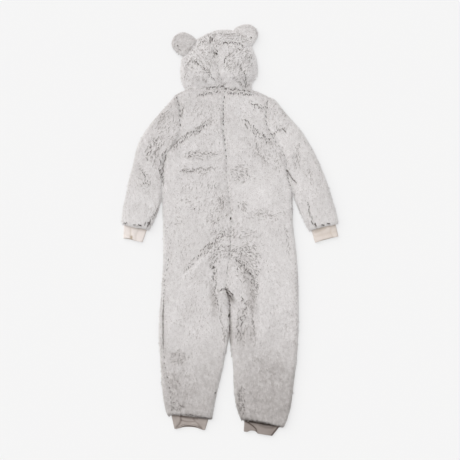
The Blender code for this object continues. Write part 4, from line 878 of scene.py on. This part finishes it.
def layStrands(name, field, way, seed):
    rng = np.random.default_rng(seed)
    rows = field["strands"][field["strands"][:, 5] > strands["least"]]
    places, faces, shades, leans = [], [], [], []
    turned = np.array(((0, 2, 1), (1, 2, 3), (3, 2, 4), (3, 4, 5), (5, 4, 6), (5, 6, 7)))[:, ::-way]
    for x, y, turn, length, width, depth in rows:
        along = np.array((math.cos(turn), math.sin(turn)))
        side = np.array((-along[1], along[0]))
        half = length / 2 + width * 0.5
        wide = width * strands["width"][0] * (strands["width"][1] + (1 - strands["width"][1]) * depth) / 2
        bow = rng.normal(0, strands["bow"]) * half
        rise = rng.uniform(*strands["rise"])
        twist = rng.normal(0, strands["bow"]) * half
        outline = [(-half, 0)] + [(part * half, aside + edge) for part, aside in ((-0.55, bow), (0, 0), (0.55, twist))
                                  for edge in (-wide, wide)] + [(half, 0)]
        spots = []
        for reach, aside in outline:
            spot = (np.array((x, y)) + along * reach + side * aside + drafting["middle"]) * mm
            hits = []
            for off in (0, -strands["near"], strands["near"]):
                start = Vector((spot[0] + side[0] * off * mm, spot[1] + side[1] * off * mm, 0.1 * way))
                hits.append(allShells.ray_cast(start, Vector((0, 0, -way)))[:2])
            if hits[0][0] is None:
                break
            crest = max(hit[0].z * way for hit in hits if hit[0] is not None)
            height = hits[0][0].z * way * (1 - strands["crest"]) + crest * strands["crest"]
            spots.append((Vector((spot[0], spot[1], max(way * (height + rise * mm), 0.3 * mm))), hits[0][1]))
        heights = [spot.z for spot, lean in spots]
        if len(spots) < 8 or max(heights) - min(heights) > strands["steepest"] * mm:
            continue
        faces += [tuple(face) for face in turned + len(places)]
        places += [spot for spot, lean in spots]
        leans += [lean if lean.z * way > 0 else -lean for spot, lean in spots]
        # Deeper partings are drawn darker: painted shade in the gap.
        least, more, most = strands["dark"]
        dark = min(most, least + more * depth)
        shades += [dark * strands["ends"]] + [dark - 0.01, dark + 0.01] * 3 + [dark * strands["ends"]]
    piece = newPiece(name, places, faces)
    mesh = piece.data
    layer = mesh.uv_layers.new(name="OFBake")
    corners = np.array(faces).ravel()
    reach = np.array((0.20, 0.28, 0.30, 0.36, 0.38, 0.44, 0.46, 0.60))   # from the blade's root to its middle
    layer.uv.foreach_set("vector", np.stack([reach[corners % 8], np.array(shades)[corners]], 1).ravel())
    mesh.shade_smooth()
    mesh.normals_split_custom_set_from_vertices([tuple(n) for n in leans])
    mesh.materials.append(pileFinish)
    return joinGarment(piece, "fleece")


rootsAndShadeBack = layStrands("partedRootsAndShadeBack", backMap, 1, 71)
rootsAndShadeFront = layStrands("partedRootsAndShadeFront", frontMap, -1, 72)
print("strands laid,", len(backMap["strands"]) + len(frontMap["strands"]))


# Rib-knit cuffs: flat tubes with a rolled mouth, folded as they lie

# in millimetres, but for the numbers of places on a rib and of rings outside and inside
cuffShape = {"wall": 1.7, "height": 8.8, "pitch": 3.0, "rib": 0.45, "perRib": 4, "rows": 20, "inside": 6, "tuck": 5.0,
             "lip": ((0.6, 0.2), (0.85, 0.5), (0.6, 0.8)),   # the rolled edge: how far out, and share of the wall
             "wave": (0.5, 16), "crown": 1.0, "uneven": (0.08, 20), "foldReach": 26, "seamWidth": 3.5, "floor": 0.25}
# Corners: seam left, seam right, mouth left, mouth right. Drawn back: the mouth's middle and half width as shares,
# how far the upper and the lower layer draw back in millimetres. Shade: how much darker the whole cuff is drawn; on
# the right ankle cuff that is painted shade. Seam: the painted shade under the fleece's hem, at the seam. A fold:
# places as shares across and along, then the step up to its left, the groove's depth and width in millimetres, and
# how much painted shade lies along it.
cuffRows = [
    {"name": "cuffLeft", "node": "cuff_left",
     "corners": ((-304, 14.1), (-240, -3.8), (-306, -25), (-251, -36)),
     "drawn": (0.3, 0.35, 3.2, 0.8), "shade": 0.0, "seam": 0.25,
     "folds": [([(0.30, 0.2), (0.34, 0.6), (0.36, 1.0)], 0.6, 1.2, 3.5, 0.25),
               ([(0.40, 0.82), (0.41, 1.0)], 0.0, 0.5, 5.0, 0.75),
               ([(0.66, 0.0), (0.60, 0.6), (0.63, 1.0)], -0.5, 0.8, 4.0, 0.12),
               ([(0.0, 0.75), (0.35, 0.86)], 0.0, 0.8, 3.0, 0.12)]},
    {"name": "cuffRight", "node": "cuff_right",
     "corners": ((236, -1.6), (305, 15.1), (246, -37), (313, -19)),
     "drawn": (0.5, 0.45, 2.4, 0.6), "shade": 0.24, "seam": 0.25,
     "folds": [([(0.12, 0.25), (0.35, 0.2), (0.55, 0.12)], 0.4, 1.0, 4.0, 0.18),
               ([(0.05, 0.55), (0.45, 0.62), (0.95, 0.6)], -0.3, 0.8, 5.0, 0.1),
               ([(0.8, 0.1), (0.72, 0.55), (0.76, 1.0)], 0.4, 0.8, 3.5, 0.12)]},
    {"name": "ankleCuffLeft", "node": "ankle_cuff_left",
     "corners": ((-168, -534.4), (-61, -545.4), (-159, -573.5), (-71, -577)),
     "drawn": (0.5, 0.44, 12.0, 6.0), "shade": 0.04, "seam": 0.55,
     "folds": [([(0.255, -0.1), (0.24, 0.42), (0.183, 0.68), (0.06, 0.92)], -1.2, 0.8, 3.6, 0.5),
               ([(0.60, 0.15), (0.66, 0.38), (0.82, 0.8), (0.9, 0.95)], 1.0, 0.5, 4.0, 0.35),
               ([(0.12, 0.93), (0.5, 0.8), (0.88, 0.93)], 0.0, 0.6, 1.6, 0.6),
               ([(0.26, 0.35), (0.42, 0.5), (0.62, 0.42)], 0.0, 0.9, 3.0, 0.4),
               ([(0.3, 0.05), (0.5, 0.12), (0.7, 0.1)], 0.0, 0.8, 4.0, 0.35)]},
    {"name": "ankleCuffRight", "node": "ankle_cuff_right",
     "corners": ((43, -550.3), (144, -567.8), (41, -581), (123, -594)),
     "drawn": (0.3, 0.2, 6.5, 5.5), "shade": 0.34, "seam": 0.65,
     "folds": [([(0.0, -0.05), (0.24, 0.35), (0.38, 0.7), (0.42, 0.95)], -1.8, 1.6, 2.4, 0.7),
               ([(0.97, 0.0), (0.96, 1.0)], 0.0, 0.6, 2.5, 0.7),
               ([(0.45, 0.2), (0.65, 0.32), (0.85, 0.25)], 0.0, 0.9, 4.0, 0.25)]},
]


def ribMaterial(name, colour, deeper, shaded):
    # Cotton rib knit: matt and soft, its columns 3 mm apart, with a fine stitch and slightly uneven dye.
    material, tree, shader, where, dyed = mottledMaterial(name, colour, deeper, 90, 5, Roughness=0.92,
                                                          Sheen_Weight=0.12, Sheen_Roughness=0.5,
                                                          Specular_IOR_Level=0.25)
    # The shade attribute mixes in the shaded colour: painted shade along the folds, under the fleece's hem at the
    # seam, on the tube's inside and over some whole cuffs.
    shade = addNode(tree, "ShaderNodeAttribute", {"attribute_name": "shade"})
    mix = addNode(tree, "ShaderNodeMix", {"data_type": "RGBA"}, {7: linear(shaded)},
                  [(0, shade, "Fac"), (6, dyed, 2)])
    tree.links.new(mix.outputs[2], shader.inputs["Base Color"])
    stitch = addNode(tree, "ShaderNodeTexVoronoi", None, {"Scale": 750}, [("Vector", where, "Object")])
    bump = addNode(tree, "ShaderNodeBump", None, {"Strength": 0.35, "Distance": 0.3 * mm},
                   [("Height", stitch, "Distance")])
    tree.links.new(bump.outputs["Normal"], shader.inputs["Normal"])
    return material


creamRib = ribMaterial("creamRibKnit", "#e6deda", "#dad2cc", "#a3927c")
taupeRib = ribMaterial("taupeRibKnit", "#afa6a1", "#a19892", "#544942")


def distanceTo(line, x, y):
    # Distance from places to a line of points, more than zero on its left.
    best, side = np.full(x.shape, 1e9), np.ones(x.shape)
    for (x0, y0), (x1, y1) in zip(line, line[1:]):
        dx, dy = x1 - x0, y1 - y0
        t = np.clip(((x - x0) * dx + (y - y0) * dy) / (dx * dx + dy * dy), 0, 1)
        far = np.hypot(x - x0 - t * dx, y - y0 - t * dy)
        turn = np.sign(dx * (y - y0) - dy * (x - x0))
        side = np.where(far < best - 1e-9, turn, side)
        best = np.minimum(best, far)
    return best, side


def flatRing(width):
    # A flattened tube's section, round from its upper left: each place's height in its rib, from -1 in the groove
    # to 1 on top, then the middle of its curve and its outward direction across and up.
    tall = cuffShape["height"]
    flat, half = width - tall, math.pi * tall / 2
    girth = 2 * (flat + half)
    ribs = round(girth / cuffShape["pitch"])
    count = ribs * cuffShape["perRib"]
    s = np.arange(count) / count * girth
    onRight = (s > flat) & (s <= flat + half)
    onLow = (s > flat + half) & (s <= 2 * flat + half)
    onLeft = s > 2 * flat + half
    turn = np.where(onRight, (s - flat) / (tall / 2), 0) + np.where(onLow, math.pi, 0)
    turn += np.where(onLeft, math.pi + (s - 2 * flat - half) / (tall / 2), 0)
    centre = np.where(s <= flat, s, np.where(onRight, flat, np.where(onLow, 2 * flat + half - s, 0)))
    return np.cos(s / girth * ribs * math.tau), centre, np.sin(turn), np.cos(turn)


def makeCuff(row):
    seamLeft, seamRight, mouthLeft, mouthRight = [np.array(c, float) + drafting["middle"] for c in row["corners"]]
    width = np.linalg.norm(seamRight - seamLeft)
    down = (mouthLeft + mouthRight - seamLeft - seamRight) / 2
    reach = np.linalg.norm(down)
    down /= reach
    across = (seamRight - seamLeft) / width
    tall, wall = cuffShape["height"], cuffShape["wall"]
    columns, centre, nx, nz = flatRing(width)
    count = len(columns)
    # Rings from under the fleece to the mouth, round the rolled edge and back inside: share along, depth in the wall.
    tucked, rows, inside = cuffShape["tuck"] / reach, cuffShape["rows"], cuffShape["inside"]
    steps = [(-tucked + (1 + tucked) * (k / rows) ** 0.9, 0.0) for k in range(rows + 1)]
    steps += [(1 + out / reach, share * wall) for out, share in cuffShape["lip"]]
    steps += [(1 - (1 + tucked) * (k / inside) ** 1.2, wall) for k in range(inside + 1)]
    places, shades = [], []
    for along, inward in steps:
        outside = inward < wall * 0.3
        ringX = centre + tall / 2 + nx * (tall / 2 - inward)
        ringZ = tall / 2 + nz * (tall / 2 - inward)
        u = ringX / width
        upper = np.clip(ringZ / tall, 0, 1)
        middle, half, upperDrawn, lowerDrawn = row["drawn"]
        bell = (1 - np.clip(np.abs(u - middle) / half, 0, 1) ** 3) ** 2
        drawn = (lowerDrawn + (upperDrawn - lowerDrawn) * upper) * bell * max(along, 0) ** 2
        ground = ((seamLeft + np.outer(u, seamRight - seamLeft)) * (1 - along)
                  + (mouthLeft + np.outer(u, mouthRight - mouthLeft)) * along - np.outer(drawn, down))
        x, y = ground[:, 0], ground[:, 1]
        wave = cuffShape["wave"][0] * cloud(x, y, cuffShape["wave"][1], 61)
        relief = (wave + cuffShape["crown"] * np.sin(np.clip(u, 0, 1) * math.pi)) * upper
        # The shade attribute: the cuff's darkening and uneven dye, then painted shade along each fold, under the
        # fleece's hem at the seam and on the inside wall.
        shade = row["shade"] + cuffShape["uneven"][0] * cloud(x, y, cuffShape["uneven"][1], 62)
        for line, step, groove, wide, dark in row["folds"]:
            line = [(a * width, b * reach) for a, b in line]
            far, side = distanceTo(line, u * width, np.full(count, along * reach))
            relief += upper * (step * 0.5 * -side * np.tanh(far / wide) * np.exp(-(far / cuffShape["foldReach"]) ** 2)
                               - groove * np.exp(-(far / wide) ** 2))
            shade += upper * dark * np.exp(-(far / (wide * 0.8)) ** 2)
        shade += row["seam"] * np.exp(-((along * reach) / cuffShape["seamWidth"]) ** 2) * upper
        shades.append(np.clip(shade + 0.5 * (inward > wall * 0.9), 0, 1))
        ribbed = cuffShape["rib"] * 0.5 * (1 + columns) * (outside or 0.5)
        out = ribbed if outside else -ribbed * 0.5
        z = np.maximum(cuffShape["floor"] + inward * 0.6 * (nz < 0), ringZ + nz * out + relief)
        places.append(np.stack([x + across[0] * nx * out, y + across[1] * nx * out, z], 1))
    rings = len(steps)
    faces = [(a * count + k, a * count + (k + 1) % count, b * count + (k + 1) % count, b * count + k)
             for a, b in [(r, (r + 1) % rings) for r in range(rings)] for k in range(count)]
    piece = newPiece(row["name"], np.concatenate(places) * mm, faces)
    pointOutwards(piece)
    piece.data.attributes.new("shade", "FLOAT", "POINT").data.foreach_set("value", np.concatenate(shades))
    piece.data.shade_smooth()
    isAnkle = row["name"].startswith("ankle")
    piece.data.materials.append(taupeRib if isAnkle else creamRib)
    return joinGarment(piece, "taupe_rib" if isAnkle else "cream_rib", row["node"])


cuffs = {row["name"]: makeCuff(row) for row in cuffRows}
print("cuffs knitted,", sum(len(c.data.polygons) for c in cuffs.values()) * 2, "triangles")


# Front zip, on the side that lies down: two woven tapes, their stitching and the coil between them

zipShape = {
    "line": [(407, -13.3), (372, -12), (165, -4), (-42, 4)],   # height and middle
    # the tapes' ends, their edges from the middle, their faces' heights and the bead along the inner edge
    "top": 369.0, "bottom": -33.5, "near": 1.7, "far": 6.6, "low": 4.35, "high": 5.25, "bead": 0.35,
    "step": 4.0, "ripple": 0.12,   # how far apart a tape's sections are, and how it waves
    # radius and length of a coil turn and a stitch, then how far apart and aside, how high, and how far from the ends
    "tooth": (0.42, 3.4), "pitch": 1.45, "toothAside": 0.9, "toothHeight": 4.15, "teeth": (2, 16),
    "stitch": (0.25, 2.6), "stitchGap": 3.8, "stitchLine": 5.2, "stitchHeight": 4.3, "stitches": (3, 2),
    "tape": ("#958f8b", "#77716d"), "coil": ("#8f8985", "#75706c"), "thread": ("#c9c4c0", "#aaa5a1"),
    "metal": ("#bdbbb7", "#9a9895")}


def zipLine(y):
    ways = sorted(zipShape["line"])
    return np.interp(y, [w[0] for w in ways], [w[1] for w in ways]) + drafting["middle"][0]


def tapeMaterial(colour, deeper):
    # Woven polyester tape: a tight herringbone, its ribs drawn 1.8 mm apart so that they show, matt with a slight
    # gloss on the threads.
    material, tree, shader = newMaterial("wovenZipTape", Roughness=0.75)
    where = addNode(tree, "ShaderNodeTexCoord")
    ways = [addNode(tree, "ShaderNodeMapping", None, {"Rotation": (0, 0, math.radians(a)), "Scale": (1, 1, 1)},
                    [("Vector", where, "Object")]) for a in (45, -45)]
    weave = [addNode(tree, "ShaderNodeTexWave", {"bands_direction": "X"}, {"Scale": 170, "Distortion": 0.4},
                     [("Vector", w, "Vector")]) for w in ways]
    crossed = addNode(tree, "ShaderNodeMath", {"operation": "MULTIPLY"},
                      links=[(0, weave[0], "Fac"), (1, weave[1], "Fac")])
    mix = addNode(tree, "ShaderNodeMix", {"data_type": "RGBA"}, {6: linear(deeper), 7: linear(colour)},
                  [(0, crossed, "Value")])
    tree.links.new(mix.outputs[2], shader.inputs["Base Color"])
    bump = addNode(tree, "ShaderNodeBump", None, {"Strength": 0.5, "Distance": 0.2 * mm},
                   [("Height", crossed, "Value")])
    tree.links.new(bump.outputs["Normal"], shader.inputs["Normal"])
    return material


def threadMaterial(name, colour, deeper, roughness):
    # Spun polyester or nylon filament: smooth enough to catch a small highlight, uneven in tone along its length.
    return mottledMaterial(name, colour, deeper, 700, 2, Roughness=roughness)[0]


def makeTapes():
    near, far, low, high, bead = [zipShape[key] for key in ("near", "far", "low", "high", "bead")]
    lower = [(near, low + 0.2), (near + 0.3, low - bead), (near + 1.1, low - bead), (near + 1.5, low), (far, low)]
    section = lower + [(x, high + low - z) for x, z in reversed(lower)]
    sides, count = len(section), int((zipShape["top"] - zipShape["bottom"]) / zipShape["step"])
    places, faces = [], []
    for sign in (-1, 1):
        first = len(places)
        for k in range(count + 1):
            y = zipShape["top"] + (zipShape["bottom"] - zipShape["top"]) * k / count
            middle, wave = zipLine(y), zipShape["ripple"] * math.sin(y * 0.21 + sign)
            places += [(middle + sign * x, y + drafting["middle"][1], z + wave * (x > 2)) for x, z in section]
        for a in range(first, first + count * sides, sides):
            faces += [(a + j, a + (j + 1) % sides, a + sides + (j + 1) % sides, a + sides + j) for j in range(sides)]
        faces += [tuple(range(end, end + sides)) for end in (first, first + count * sides)]
    piece = newPiece("zipTapes", np.array(places) * mm, faces)
    pointOutwards(piece)
    useOnly(piece)
    bpy.ops.object.shade_smooth_by_angle(angle=math.radians(35))
    piece.data.materials.append(tapeMaterial(*zipShape["tape"]))
    return joinGarment(piece, "zip_tape", "zip_tape_left", "zip_tape_right")


def copiesOf(name, model, spots, finish):
    # One mesh of many copies of a model, each with a place in millimetres and a turn about Z.
    base = placesOf(model)
    shapes = [tuple(p.vertices) for p in model.data.polygons]
    places, faces = [], []
    for x, y, z, turn in spots:
        c, d = math.cos(turn), math.sin(turn)
        moved = np.stack([base[:, 0] * c - base[:, 1] * d, base[:, 0] * d + base[:, 1] * c, base[:, 2]], 1)
        faces += [tuple(len(places) + k for k in shape) for shape in shapes]
        places += list(moved + np.array((x, y, z)) * mm)
    bpy.data.objects.remove(model)
    piece = newPiece(name, places, faces)
    piece.data.shade_smooth()
    piece.data.materials.append(finish)
    return joinGarment(piece, "zip_tape")


def roundedRod(radius, length, sides):
    # A short rod along X with rounded ends, modelled at the origin.
    deselect()
    bpy.ops.mesh.primitive_cylinder_add(vertices=sides, radius=radius * mm, depth=length * mm,
                                        rotation=(0, math.pi / 2, 0), end_fill_type="NGON")
    rod = bpy.context.active_object
    bpy.ops.object.transform_apply(location=True, rotation=True, scale=True)
    shape = bmesh.new()
    shape.from_mesh(rod.data)
    ends = [edge for edge in shape.edges if abs(edge.verts[0].co.x + edge.verts[1].co.x) > length * mm * 0.99]
    bmesh.ops.bevel(shape, geom=ends, offset=radius * 0.55 * mm, segments=1, affect="EDGES")
    shape.to_mesh(rod.data)
    shape.free()
    return rod


makeTapes()
start, end = zipShape["bottom"] + zipShape["teeth"][0], zipShape["top"] - zipShape["teeth"][1]
teeth = [(zipLine(y) + zipShape["toothAside"] * (-1) ** k, y + drafting["middle"][1], zipShape["toothHeight"], 0.0)
         for k, y in enumerate(np.arange(start, end, zipShape["pitch"]))]
zipCoil = copiesOf("zipCoil", roundedRod(*zipShape["tooth"], 8), teeth,
                   threadMaterial("nylonCoil", *zipShape["coil"], 0.4))
start, end = zipShape["bottom"] + zipShape["stitches"][0], zipShape["top"] - zipShape["stitches"][1]
stitches = [(zipLine(y) + sign * zipShape["stitchLine"], y + drafting["middle"][1], zipShape["stitchHeight"],
             math.pi / 2 + 0.04 * math.sin(y))
            for sign in (-1, 1) for y in np.arange(start, end, zipShape["stitchGap"])]
zipStitches = copiesOf("zipStitches", roundedRod(*zipShape["stitch"], 6), stitches,
                       threadMaterial("sewingThread", *zipShape["thread"], 0.6))


def metalMaterial(colour, deeper):
    # Die-cast zinc with a dull nickel plating, tumbled: soft reflections and fine rub marks.
    material, tree, shader = newMaterial("nickelPlatedZinc", Metallic=1.0)
    where = addNode(tree, "ShaderNodeTexCoord")
    rubbed = addNode(tree, "ShaderNodeMapping", None, {"Scale": (900, 120, 900)}, [("Vector", where, "Object")])
    noise = addNode(tree, "ShaderNodeTexNoise", None, {"Scale": 1.0, "Detail": 4}, [("Vector", rubbed, "Vector")])
    rough = addNode(tree, "ShaderNodeMapRange", None, {"To Min": 0.24, "To Max": 0.46}, [("Value", noise, "Fac")])
    tree.links.new(rough.outputs["Result"], shader.inputs["Roughness"])
    mix = addNode(tree, "ShaderNodeMix", {"data_type": "RGBA"}, {6: linear(deeper), 7: linear(colour)},
                  [(0, noise, "Fac")])
    tree.links.new(mix.outputs[2], shader.inputs["Base Color"])
    return material


zipMetal = metalMaterial(*zipShape["metal"])
for node in ("zip_slider", "zip_pull"):
    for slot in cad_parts[node].material_slots:
        slot.material = zipMetal
print("zip made,", len(teeth), "coil turns,", len(stitches), "stitches")
